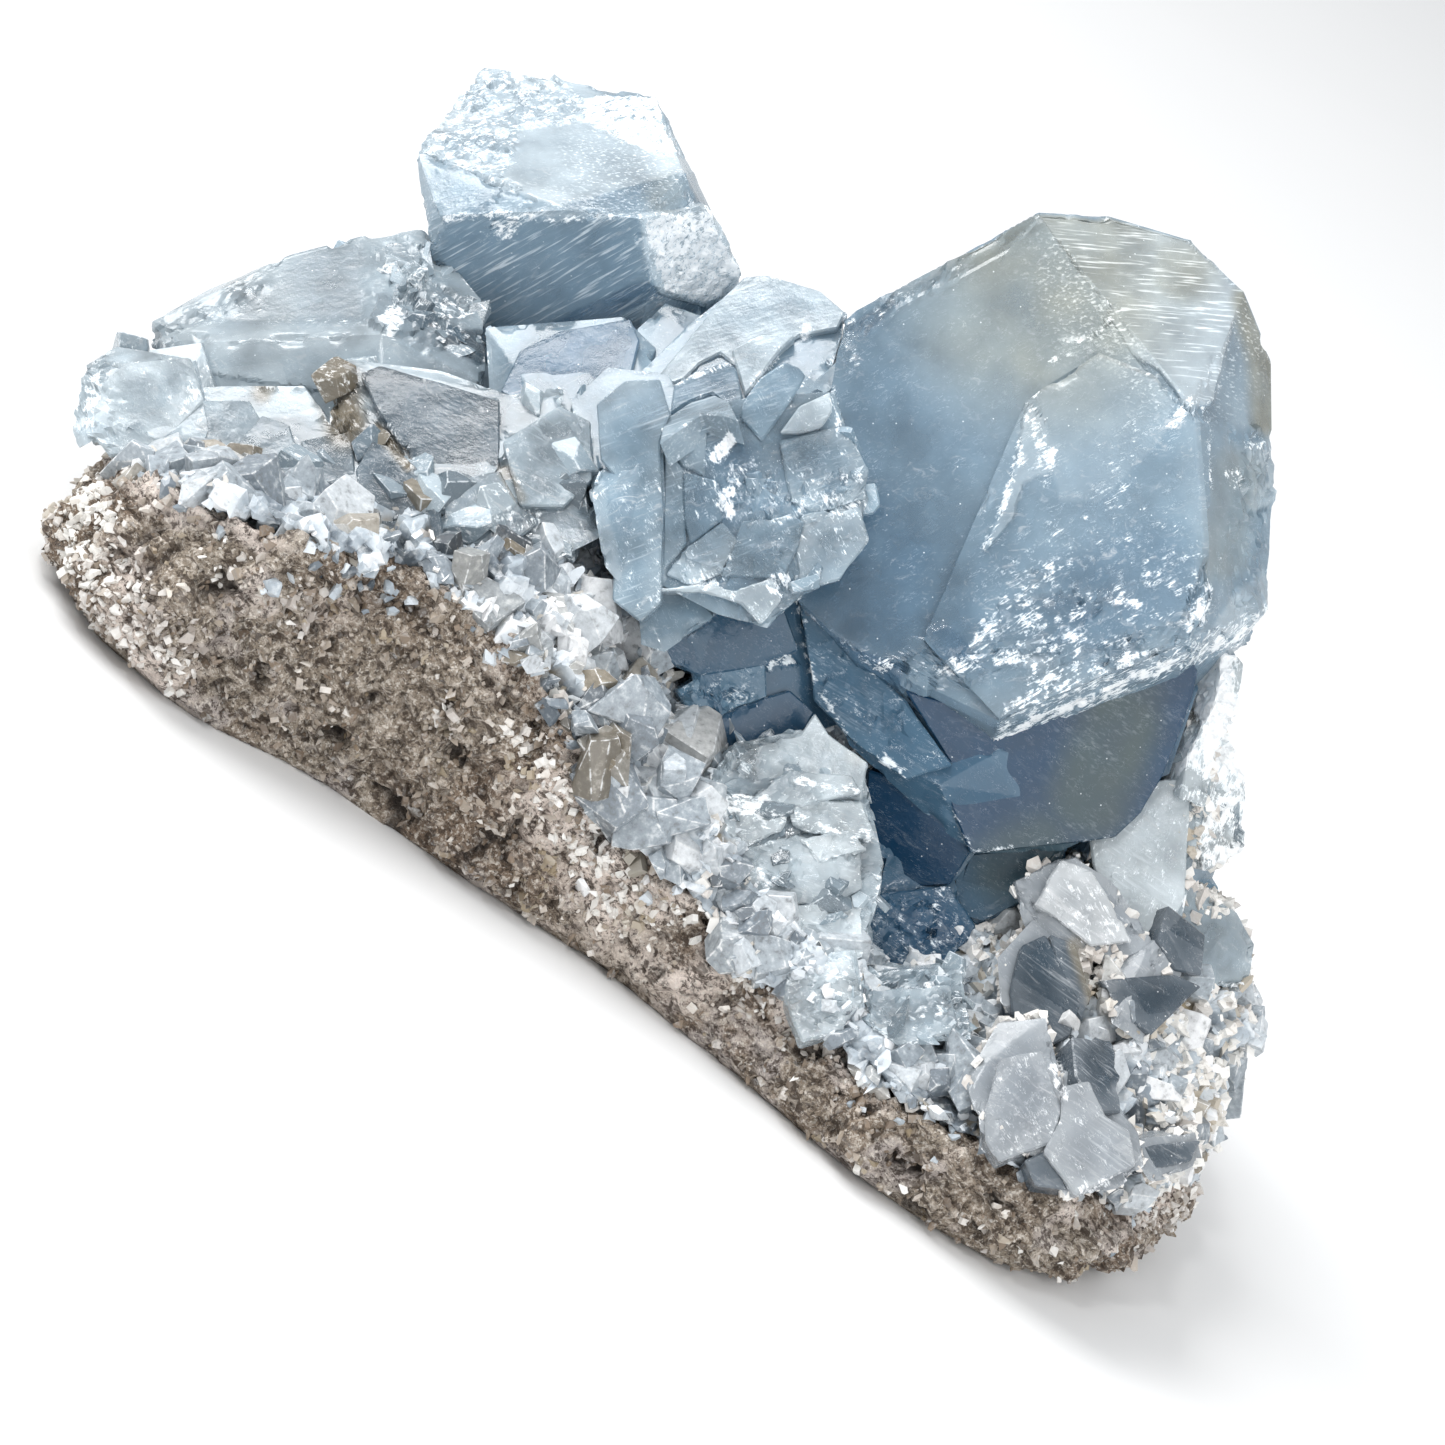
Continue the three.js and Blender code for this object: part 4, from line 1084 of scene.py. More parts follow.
            (34, 1.0, [(338, 385), (345, 425)]), (16, 0.8, [(270, 370), (262, 395)]),
            (9, 0.9, [(378, 428), (408, 466)]), (16, 0.5, [(262, 395)]),
            (14, 0.9, [(205, 490), (220, 540)]), (10, 0.7, [(504, 470), (520, 498)]),
        ],
    },
    {
        "node": "rim_crystals", "slot": "smoky_celestite", "seed": 97, "veins": 0.5, "waves": (9.0, 0.05),
        "hackle": (1.3, 0.45), "chips": (1.6, 0.4), "edges": 0.3, "streaks": (0.5, 1.0), "thickness": 2.6,
        "plates": [
            (0.6, 0.0, 0.35, [
                (985, 1112), (1000, 1058), (1042, 1050), (1062, 1112), (1052, 1142), (1000, 1162),
                (986, 1142),
            ]),
            (0.9, -0.1, 0.3, [
                (1064, 1086), (1090, 1080), (1106, 1116), (1130, 1130), (1137, 1165), (1076, 1196),
                (1044, 1152), (1060, 1120),
            ]),
            (0.6, 1.0, 0.0, [
                (1010, 990), (1022, 945), (1046, 934), (1082, 1005), (1070, 1036), (1050, 1046),
                (1012, 1012),
            ]),
            (0.8, 0.85, 0.15, [(1050, 934), (1076, 944), (1092, 1000), (1082, 1022), (1062, 990)]),
            (0.3, 1.0, 0.05, [(1100, 980), (1175, 974), (1202, 986), (1150, 1036), (1120, 1012)]),
            (0.3, 0.95, 0.05, [(1168, 905), (1206, 935), (1202, 976), (1175, 971), (1158, 940)]),
            (0.4, 0.45, 0.2, [(1200, 940), (1230, 925), (1246, 950), (1226, 986), (1200, 986)]),
            (0.2, 1.0, 0.0, [(1140, 1146), (1202, 1140), (1192, 1161), (1150, 1171)]),
            (0.4, 0.85, 0.1, [(1072, 1036), (1112, 1040), (1122, 1112), (1100, 1112), (1076, 1076)]),
            (0.8, -0.75, 0.5, [
                (1035, 906), (1050, 876), (1062, 858), (1092, 870), (1112, 902), (1132, 942), (1090, 946),
                (1060, 920),
            ]),
            (0.2, 0.95, 0.0, [(1024, 1160), (1052, 1148), (1068, 1190), (1036, 1186)]),
        ],
        "white": [
            (0.8, [(1062, 1060), (1046, 1065), (1066, 1116), (1072, 1110)]),
            (0.6, [(1060, 1190), (1130, 1178), (1125, 1186), (1070, 1198)]),
        ],
        "broken": [(30, 0.7, [(1100, 1000), (1120, 1080)]), (30, 0.6, [(1080, 900), (1130, 930)])],
        "frost": [
            (10, 0.7, [(1080, 1190), (1130, 1176)]), (20, 0.5, [(1090, 900), (1120, 930)]),
            (14, 0.5, [(1000, 1080), (1030, 1100)]),
        ],
        "stain": [(12, 0.6, [(1075, 945), (1095, 1000)])],
        "shade": [(30, 0.9, [(1110, 1060)])],
    },
    {
        "node": "rear_crystals", "slot": "celestite", "grain": 0.8, "seed": 103, "veins": 0.7,
        "waves": (10.0, 0.08), "hackle": (1.8, 0.5), "chips": (1.8, 0.5), "edges": 0.3,
        "streaks": (1.0, 0.3),
    },
]


def settle(piece, name, replaced=()):
    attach(piece, "root")
    if replaced:
        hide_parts(*replaced)
    count = sum(len(face.vertices) - 2 for face in piece.data.polygons)
    print(f"{name}: {count} triangles")
    return piece


ridgeAngle = math.radians(22)  # edges of the solids sharper than this are ridges
facetAngle = math.radians(24)  # faces that lean further apart than this have a sharp edge


def crystalPiece(plan):
    name = plan["node"]
    piece = cadCopy(name, name + "_body")
    coarse = piece.data
    levels = np.zeros(len(coarse.vertices))
    points, faces, _ = splitFaces(pointsOf(coarse), trianglesOf(coarse), plan["grain"], levels)
    piece.data = fromTriangles(name, points, faces)
    bpy.data.meshes.remove(coarse)
    dressed(piece, plan, plan["shelves"], edgeReach(points, sharpEdges(name, ridgeAngle)))
    bodies[name] = piece
    return settle(piece, name, [name])


def dressed(piece, plan, shelves, reach, levels=None):
    # the relief of a crystal's faces and the marks that its material reads
    seed = plan["seed"]
    mesh = piece.data
    points = pointsOf(mesh)
    normals = normalsOf(mesh)
    spots = picturePlace(points)
    front = fade(-(normals @ sight), 0.0, 0.25)
    if levels is not None:
        front = np.ones(len(points))
    hidden = 1 - front
    ragged = 0.8 + 0.4 * rough(points, 1.6, seed + 9, 2)
    # the back, which the picture doesn't show, has broken and frosted patches of the same kind
    patches = 0.8 * fade(rough(points, 9.0, seed + 5), 0.35, 0.9) * hidden
    broken = np.maximum(strokes(spots, plan["broken"]) * front * ragged, patches)
    size, amount = plan["waves"]
    height = plan["grow"] + amount * rough(points, size, seed + 1, 2)
    drift = rough(points, 10.0, seed + 25, 3)
    shade = drift * (0.08 + 0.25 * hidden) + 0.15 * hidden
    frosted = np.zeros(len(points))
    if levels is not None:
        shade = levels[:, 0] + drift * 0.12
        frosted = levels[:, 1] * (0.8 + 0.5 * rough(points, 2.4, seed + 35, 3))
    jitter = 1.2 * rough(points, 1.4, seed + 33, 2)
    for rise, level, (across, down), outline in shelves:
        depth = insideOutline(spots, outline) + jitter + 1.5
        part = fade(depth, -1.5, 1.5) * front
        slope = (spots - np.mean(outline, axis=0)) @ np.array((across, down)) / cameraView["pixelsPerMm"]
        height = height + part * (rise + slope - height * 0.6)
        shade = shade + part * (level + drift * 0.12 - shade)
    for strength, outline in plan["white"]:
        depth = insideOutline(spots, outline) + jitter * 2.5
        frosted = np.maximum(frosted, strength * fade(depth, -2.0, 3.0) * front)
    cell, amount = plan["hackle"]
    broken = np.maximum(broken, frosted * 0.6)
    relief, tone = plates(points, cell, seed, 1.0)
    crumbs, _ = plates(points, cell * 0.4, seed + 2, 1.0)
    height += (relief * amount + crumbs * amount * 0.35) * broken
    size, amount = plan["chips"]
    chipped = fade(1 - reach / 0.8, 0, 1) * fade(rough(points, size * 1.5, seed + 7, 3), 0.2, 0.6)
    height -= amount * chipped
    putPoints(mesh, points + normals * height[:, None])
    mesh.set_sharp_from_angle(angle=facetAngle)
    frost = np.maximum(strokes(spots, plan["frost"]) * front * ragged, np.maximum(patches * 0.5, frosted))
    # the frost along the edges is partly chipped white edges and partly painted glints where the edges catch
    # light
    edge = fade(1 - reach / 0.35, 0, 1) * (plan["edges"] + 0.55 * rough(points, 2.2, seed + 21, 3))
    putMark(mesh, "frost", np.clip(np.maximum(frost, edge), 0, 1))
    stained = strokes(spots, plan["stain"]) * front
    putMark(mesh, "stain", stained * (0.9 + 0.25 * rough(points, 5.0, seed + 23, 2)))
    deeper = strokes(spots, [mark for mark in plan["shade"] if mark[1] > 0])
    paler = strokes(spots, [(width, -mark, line) for width, mark, line in plan["shade"] if mark < 0])
    shade = shade + (deeper - paler) * front + (tone - 0.5) * broken * 0.5
    # painted light: the shade is made paler near the edges, as if light shone through them
    putMark(mesh, "shade", shade - plan["paintedEdgeLight"] * fade(1 - reach / 2.2, 0, 1))
    lined = 0.5 * hidden * fade(drift, 0.0, 0.4)
    if levels is not None:
        lined = 0.35 * fade(rough(points, 6.0, seed + 37, 2), 0.0, 0.3)
    putMark(mesh, "line", np.maximum(strokes(spots, plan["line"]) * front, lined))
    putMark(mesh, "ridge", standOut(mesh) * 1.2)
    putMark(mesh, "cloud", rough(points, 4.0, seed + 27, 4) * plan["veins"])
    way = (1, 0, 0)
    if plan["lineWay"]:
        face, (across, down) = plan["lineWay"]
        way = alongFace(faceWays[face], across, down)
    streaks = alongFace(faceWays["largeFront"], *plan["streaks"])
    mesh.materials.append(crystalFinish(mesh.name, crystalLooks[plan["slot"]], way, streaks))


plateMaking = {
    "probeStep": 6,  # pixels between the lines of sight that find the surface below
    "deepest": 4.0,  # mm between that surface and its middle
    "facing": 0.25,  # how far a plate turns from that surface towards the camera
    "level": 0.7,  # share of that surface that lies below the plate
    "taper": 0.04,
    "rim": 0.14,  # mm, its blunted edge
    "grain": 0.56,
    "waves": (4.0, 0.05),
}


def plateShape(tree, rise, outline, thickness):
    # a flat plate of crystal with this outline in the picture, standing out of the surface below it
    corners = np.array(outline, float)
    low, high = corners.min(0), corners.max(0)
    rows = [np.arange(low[axis], high[axis], plateMaking["probeStep"]) for axis in range(2)]
    grid = np.stack(np.meshgrid(*rows), -1).reshape(-1, 2)
    grid = grid[insideOutline(grid, outline) > 0]
    hits = []
    for line in sightLines(grid):
        place = tree.ray_cast(Vector(cameraSpot), Vector(line).normalized())[0]
        if place:
            hits.append(place / mm)
    if len(hits) < 4:
        print("no surface under a plate at", outline[0])
        return None
    hits = np.array(hits)
    depth = hits @ sight
    hits = hits[np.abs(depth - np.median(depth)) < plateMaking["deepest"]]
    middle = hits.mean(0)
    normal = np.linalg.svd(hits - middle)[2][2]
    normal *= -np.sign(normal @ sight)
    normal = normal * (1 - plateMaking["facing"]) - sight * plateMaking["facing"]
    normal /= np.linalg.norm(normal)
    level = np.quantile((hits - middle) @ normal, plateMaking["level"]) + rise
    lines = sightLines(corners)
    start = cameraSpot / mm
    reach = ((middle + normal * level - start) @ normal) / (lines @ normal)
    top = start + lines * reach[:, None]
    base = top + (top.mean(0) - top) * plateMaking["taper"] - normal * thickness
    form = bmesh.new()
    above = [form.verts.new(place) for place in top]
    below = [form.verts.new(place) for place in base]
    form.faces.new(above)
    form.faces.new(below[::-1])
    for index in range(len(above)):
        after = (index + 1) % len(above)
        form.faces.new((above[index], below[index], below[after], above[after]))
    bmesh.ops.recalc_face_normals(form, faces=form.faces[:])
    rims = [edge for edge in form.edges if not all(vert in below for vert in edge.verts)]
    bmesh.ops.bevel(
        form, geom=rims, offset=plateMaking["rim"], offset_type="OFFSET", affect="EDGES", segments=1,
        profile=0.5, material=-1, clamp_overlap=True,
    )
    bmesh.ops.triangulate(form, faces=form.faces[:])
    form.verts.index_update()
    made = np.array([tuple(vert.co) for vert in form.verts])
    faces = np.array([[vert.index for vert in face.verts] for face in form.faces])
    form.free()
    return made, faces, np.stack((top, np.roll(top, -1, axis=0)), 1)


def platesPiece(plan):
    name = plan["node"]
    tree = treeOf([name])
    points, faces, levels, edges = [], [], [], []
    total = 0
    for rise, shade, frost, outline in plan["plates"]:
        made = plateShape(tree, rise, outline, plan["thickness"])
        if made:
            points.append(made[0])
            faces.append(made[1] + total)
            levels.append(np.tile((shade, frost), (len(made[0]), 1)))
            edges.append(made[2])
            total += len(made[0])
    title = name.replace("_crystals", "").replace("_crystal", "") + "_faces"
    points, faces, levels = (np.concatenate(parts) for parts in (points, faces, levels))
    points, faces, levels = splitFaces(points, faces, plateMaking["grain"], levels)
    piece = bpy.data.objects.new(title, fromTriangles(title, points, faces))
    scene.collection.objects.link(piece)
    own = {**plan, "grow": 0.0, "waves": plateMaking["waves"], "chips": (1.0, 0.0)}
    dressed(piece, own, [], edgeReach(points, np.concatenate(edges)), levels)
    return settle(piece, title)


def treeOf(names):
    # the CAD solids' surfaces, for finding what is near
    form = bmesh.new()
    for name in names:
        form.from_mesh(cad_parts[name].data)
    bmesh.ops.remove_doubles(form, verts=form.verts, dist=weldGap)
    tree = BVHTree.FromBMesh(form)
    form.free()
    return tree


def clearance(points, tree):
    # how far each point is outside the solids, in mm; inside them it is below 0
    found = np.empty(len(points))
    for index, point in enumerate(points * mm):
        place, normal, _, distance = tree.find_nearest(Vector(point))
        found[index] = math.copysign(distance, (Vector(point) - place).dot(normal)) / mm
    return found


rockPlan = {
    # swells, pits and broken faces are (size, height) in mm, the others strokes as above
    "grain": 0.46, "seed": 211,
    "pale": [
        (50, 0.9, [(80, 520), (110, 600), (170, 660)]), (56, 1.0, [(600, 640), (650, 790), (740, 930)]),
        (60, 0.7, [(520, 720), (560, 800)]), (40, 0.6, [(240, 590), (330, 600)]),
        (70, 0.9, [(1150, 1190), (1200, 1150)]),
    ],
    "fresh": [(70, 1.0, [(560, 810), (620, 890), (690, 960)])],
    "brown": [
        (130, 0.8, [(400, 620), (480, 740)]), (60, 0.6, [(620, 860), (720, 960)]),
        (40, 0.8, [(170, 560), (190, 610)]),
    ],
    "swells": [(9.0, 1.0), (3.6, 0.9), (1.3, 0.45)],
    "pits": (3.2, 1.6),
    "broken": [(2.0, 0.5), (0.9, 0.35)],
    "reach": (-2.0, 1.3),  # mm, how far the relief may go in and out
}


def rockPiece():
    piece = cadCopy("matrix", "rock")
    remeshed(piece, rockPlan["grain"])
    mesh = piece.data
    points = pointsOf(mesh)
    normals = normalsOf(mesh)
    seed = rockPlan["seed"]
    covered = fade(clearance(points, crustTree), 4.0, 0.3)
    free = fade(points[:, 2], 0.1, 2.0)
    height = np.zeros(len(points))
    for index, (size, amount) in enumerate(rockPlan["swells"]):
        height += amount * rough(points, size, seed + index * 3, 2)
    for index, (cell, amount) in enumerate(rockPlan["broken"]):
        height += amount * plates(points, cell, seed + 7 + index, 1.0)[0]
    size, depth = rockPlan["pits"]
    pit = fade(rough(points, size, seed + 11, 3), 0.42, 0.85)
    height -= pit * depth
    moved = points + normals * (np.clip(height, *rockPlan["reach"]) * free)[:, None]
    flat = points[:, 2] < 0.3
    moved[:, 2] = np.where(flat, np.maximum(points[:, 2], 0), np.maximum(moved[:, 2], 0.05))
    putPoints(mesh, moved)
    spots = picturePlace(points)
    front = fade(-(normals @ sight), 0.0, 0.25)
    patch = rough(points, 5.0, seed + 13, 4)
    margin = covered * fade(patch, -0.2, 0.5)
    pale = strokes(spots, rockPlan["pale"]) * fade(patch, -0.4, 0.4)
    drawn = np.maximum(pale, strokes(spots, rockPlan["fresh"]) * fade(patch, -1.4, 0.0))
    putMark(mesh, "pale", np.maximum(drawn * front, margin))
    putMark(mesh, "patch", patch - strokes(spots, rockPlan["brown"]) * front)
    putMark(mesh, "cloud", rough(points, 14.0, seed + 15, 3))
    # painted shade in the pits
    putMark(mesh, "dark", pit * 0.7)
    putMark(mesh, "ridge", standOut(mesh) * 1.4)
    mesh.materials.append(rockFinish("rock"))
    return settle(piece, "rock", ["matrix"])


crustPlan = {"grain": 0.46, "seed": 307, "cell": 3.0, "amount": 1.1, "smallCell": 1.1, "smallAmount": 0.45}


def crustPiece():
    piece = cadCopy("crystal_crust", "druse_crust")
    remeshed(piece, crustPlan["grain"])
    mesh = piece.data
    points = pointsOf(mesh)
    normals = normalsOf(mesh)
    seed = crustPlan["seed"]
    relief, tone = plates(points, crustPlan["cell"], seed, 1.1)
    small, smallTone = plates(points, crustPlan["smallCell"], seed + 5, 1.1)
    height = relief * crustPlan["amount"] + small * crustPlan["smallAmount"]
    height += 0.3 * rough(points, 5.0, seed + 9) - 0.1
    putPoints(mesh, points + normals * height[:, None])
    mesh.set_sharp_from_angle(angle=math.radians(28))
    spots = picturePlace(points)
    drawn = 0.3 * strokes(spots, paleSpots) - 0.45 * strokes(spots, dimSpots)
    # raised plates paler and sunken ones darker: partly each crystal's tone, partly painted shade in the
    # recesses
    level = 0.10 + tone * 0.40 + smallTone * 0.30 + relief * 0.4 + 0.2 * rough(points, 8.0, seed + 11)
    putMark(mesh, "tone", level + drawn)
    putMark(mesh, "stain", fade(rough(points, 6.0, seed + 13), 0.1, 0.6) * fade(-relief, -0.2, 0.5))
    mesh.materials.append(grainFinish("druse_crust", "druse", 0.0))
    return settle(piece, "crust", ["crystal_crust"])


def chipShape(seed, stretch, cuts, rim):
    # a small crystal, about one unit long: an uneven chunk or a block, its corners cut and its edges blunted
    draw = np.random.default_rng(seed)
    form = bmesh.new()
    block = seed % 3 == 0
    bmesh.ops.create_cube(form, size=0.9 if block else 2.0)
    for cut in range(cuts if block else cuts + 6):
        # the cuts spread all round in a spiral, each a little off
        level = 1 - 2 * (cut + 0.5) / (cuts + 6)
        turn = cut * 2.4
        way = np.array((math.cos(turn), math.sin(turn), 0)) * math.sqrt(1 - level * level)
        way += draw.normal(size=3) * 0.3 + np.array((0, 0, level))
        way = Vector(way).normalized()
        everything = form.verts[:] + form.edges[:] + form.faces[:]
        spot = way * draw.uniform(0.33, 0.5)
        bmesh.ops.bisect_plane(form, geom=everything, plane_co=spot, plane_no=way, clear_outer=True)
        openEdges = [edge for edge in form.edges if edge.is_boundary]
        if openEdges:
            bmesh.ops.contextual_create(form, geom=openEdges)
    bmesh.ops.scale(form, vec=stretch, verts=form.verts)
    if rim:
        bmesh.ops.remove_doubles(form, verts=form.verts, dist=0.03)
        bmesh.ops.dissolve_limit(form, angle_limit=0.05, verts=form.verts, edges=form.edges)
        made = bmesh.ops.bevel(
            form, geom=form.edges[:], offset=rim, offset_type="OFFSET", affect="EDGES", segments=1,
            profile=0.5, material=-1, clamp_overlap=True,
        )
        for face in made["faces"]:
            face.material_index = 1
    bmesh.ops.triangulate(form, faces=form.faces[:])
    bmesh.ops.recalc_face_normals(form, faces=form.faces[:])
    form.verts.index_update()
    corners = np.array([tuple(vert.co) for vert in form.verts])
    faces = np.array([[vert.index for vert in face.verts] for face in form.faces])
    rims = np.array([face.material_index for face in form.faces], float)
    form.free()
    return corners, faces, rims


def placesOn(piece, count, draw, weigh):
    # random places on a piece, with the way out of its surface
    corners = trianglesOf(piece.data)
    points = pointsOf(piece.data)[corners]
    cross = np.cross(points[:, 1] - points[:, 0], points[:, 2] - points[:, 0])
    size = np.linalg.norm(cross, axis=1)
    normals = cross / np.maximum(size, 1e-9)[:, None]
    chance = size * weigh(points.mean(1), normals)
    picked = draw.choice(len(points), count, p=chance / chance.sum())
    first, second = draw.random((2, count, 1))
    swap = first + second > 1
    first, second = np.where(swap, 1 - first, first), np.where(swap, 1 - second, second)
    chosen = points[picked]
    spot = chosen[:, 0] + first * (chosen[:, 1] - chosen[:, 0]) + second * (chosen[:, 2] - chosen[:, 0])
    return spot, normals[picked], corners[picked, 0]


def turns(ways, spin):
    # rotation matrices that take the z axis to each way, spun about it
    helper = np.where(np.abs(ways[:, 2:]) < 0.9, (0.0, 0.0, 1.0), (1.0, 0.0, 0.0))
    side = np.cross(helper, ways)
    side /= np.linalg.norm(side, axis=1, keepdims=True)
    other = np.cross(ways, side)
    c, s = np.cos(spin)[:, None], np.sin(spin)[:, None]
    return np.stack((side * c + other * s, other * c - side * s, ways), axis=2)


def strewn(title, shapes, places, ways, sizes, marks, finish):
    # one mesh of many copies of a few small shapes
    draw = np.random.default_rng(len(places))
    kinds = draw.integers(len(shapes), size=len(places))
    frames = turns(ways, draw.random(len(places)) * math.tau)
    corners, faces, rims = [], [], []
    spread = {name: [] for name in marks}
    total = 0
    for kind, (shape, sides, rim) in enumerate(shapes):
        mine = kinds == kind
        many = mine.sum()
        turned = np.einsum("nij,kj->nki", frames[mine], shape)
        placed = turned * sizes[mine][:, None, None] + places[mine][:, None]
        corners.append(placed.reshape(-1, 3))
        offsets = total + np.arange(many)[:, None, None] * len(shape)
        faces.append((sides[None] + offsets).reshape(-1, 3))
        rims.append(np.tile(rim, many))
        for name, values in marks.items():
            spread[name].append(np.repeat(values[mine], len(shape)))
        total += many * len(shape)
    corners = np.concatenate(corners)
    corners[:, 2] = np.maximum(corners[:, 2], 0.03)
    mesh = bpy.data.meshes.new(title)
    mesh.from_pydata((corners * mm).tolist(), [], np.concatenate(faces).tolist())
    mesh.update()
    for name, values in spread.items():
        putMark(mesh, name, np.concatenate(values))
    putMark(mesh, "rim", np.concatenate(rims), "FACE")
    mesh.materials.append(finish)
    piece = bpy.data.objects.new(title, mesh)
    scene.collection.objects.link(piece)
    return settle(piece, title)


# Strokes where no small crystals stand in front of the larger ones
bareSpots = [
    (56, 1.0, [(905, 925), (930, 960)]), (50, 1.0, [(390, 460), (410, 530)]),
    (30, 0.9, [(1040, 1080), (1090, 1140)]),
]

# Strokes where the small crystals and the crust are darker or paler than elsewhere
dimSpots = [
    (56, 1.0, [(360, 470), (450, 520), (520, 560)]), (40, 0.7, [(540, 690), (600, 760)]),
    (60, 0.5, [(230, 450), (320, 480)]),
    (30, 0.8, [(800, 740), (760, 700)]), (30, 0.7, [(160, 620), (230, 640)]),
    (40, 0.6, [(880, 1130), (960, 1160)]), (50, 0.5, [(330, 600), (420, 640)]),
]
paleSpots = [
    (50, 0.8, [(70, 440), (90, 560)]), (60, 0.7, [(540, 800), (620, 900), (700, 970)]),
    (60, 0.5, [(560, 560), (600, 640)]), (60, 0.4, [(1180, 1060), (1220, 1100)]),
]

# What the small crystals have in common. Sizes are (least, most, how rare the large ones are) in mm, sink is
# a share of the size, and elsewhere is how densely they stand on the sides that the picture doesn't show.
druseHabit = {
    "on": "crust", "slot": "druse", "tints": "druse", "clear": 0.0, "rim": 0.0, "sink": 0.0,
    "elsewhere": 0.8,
    "stretch": ((0.6, 0.95), (0.45, 0.8), (0.8, 1.25)), "where": [(700, 1.0, [(640, 800)])],
}
drusePlans = [
    {
        "title": "druse_blocks", "rim": 0.016, "count": 650, "sizes": (2.2, 5.6, 1.8), "sink": -0.22,
        "seed": 401, "lean": 0.55, "clear": 0.3, "cuts": 4, "elsewhere": 0.5, "tone": (0.25, 0.85),
        "where": [
            (70, 1.0, [(110, 440), (300, 480), (480, 540), (580, 640)]),
            (60, 1.0, [(620, 740), (720, 920)]), (70, 1.0, [(780, 1020), (960, 1060)]),
            (100, 0.4, [(1100, 1050), (1180, 1000)]),
        ],
    },
    {
        "title": "druse_crystals", "rim": 0.02, "count": 1400, "sizes": (1.2, 3.0, 1.6), "sink": -0.15,
        "seed": 431, "lean": 0.6, "clear": 0.2, "cuts": 4, "tone": (0.15, 1.0),
    },
    {
        "title": "druse_sugar", "count": 6000, "sizes": (0.35, 1.1, 1.5), "seed": 461, "lean": 0.8,
        "cuts": 1, "tone": (0.3, 1.1),
    },
    {
        "title": "rock_edge_crystals", "on": "rock", "count": 2200, "sizes": (0.6, 2.0, 2.4), "seed": 491,
        "lean": 0.6, "cuts": 4, "margin": (3.4, 0.2), "tone": (0.1, 0.95),
    },
    {
        "title": "rock_sugar", "on": "rock", "count": 4200, "sizes": (0.3, 0.95, 2.0), "sink": -0.05,
        "seed": 551, "lean": 0.7, "tints": "warm", "cuts": 1, "elsewhere": 0.25, "tone": (0.35, 1.0),
        "where": [
            (55, 1.0, [(85, 520), (110, 590), (160, 650)]),
            (30, 0.35, [(220, 560), (320, 590), (300, 620)]), (26, 0.6, [(420, 680), (440, 720)]),
            (34, 0.7, [(530, 740), (560, 800)]), (44, 1.0, [(690, 900), (760, 980), (840, 1040)]),
            (40, 0.8, [(580, 830), (640, 920)]), (60, 1.0, [(1160, 1190), (1220, 1120)]),
        ],
    },
    {
        "title": "end_sugar", "count": 3000, "sizes": (0.4, 1.2, 1.8), "seed": 581, "lean": 0.8,
        "tints": "warm", "cuts": 1, "elsewhere": 0.3, "tone": (0.6, 1.3),
        "where": [
            (60, 1.0, [(1210, 950), (1200, 1060), (1180, 1150)]), (36, 0.8, [(960, 960), (1000, 930)]),
            (30, 0.6, [(1200, 700), (1200, 860)]), (30, 0.6, [(700, 900), (740, 960)]),
        ],
    },
    {
        "title": "rim_sugar", "on": "rim_crystals", "count": 800, "sizes": (0.35, 1.1, 1.8), "sink": -0.05,
        "seed": 611, "lean": 0.8, "tints": "warm", "cuts": 1, "elsewhere": 0.3, "tone": (0.5, 1.1),
        "where": [
            (30, 1.0, [(1100, 960), (1090, 1020)]), (40, 1.0, [(1170, 1040), (1200, 1100)]),
            (20, 0.6, [(1130, 1080)]),
        ],
    },
    {
        "title": "right_sugar", "on": "right_crystals", "count": 900, "sizes": (0.35, 1.1, 1.8),
        "sink": -0.05, "seed": 631, "lean": 0.8, "tints": "warm", "cuts": 1, "elsewhere": 0.3,
        "tone": (0.6, 1.1),
        "where": [(26, 1.0, [(1195, 715), (1165, 712)]), (30, 1.0, [(1200, 780), (1210, 900)])],
    },
    {
        "title": "rock_grains", "on": "rock", "slot": "matrix", "count": 7000, "sizes": (0.3, 0.8, 2.0),
        "seed": 521, "lean": 1.0, "tints": "rock", "cuts": 0, "elsewhere": 1.0, "tone": (0.0, 0.95),
    },
]


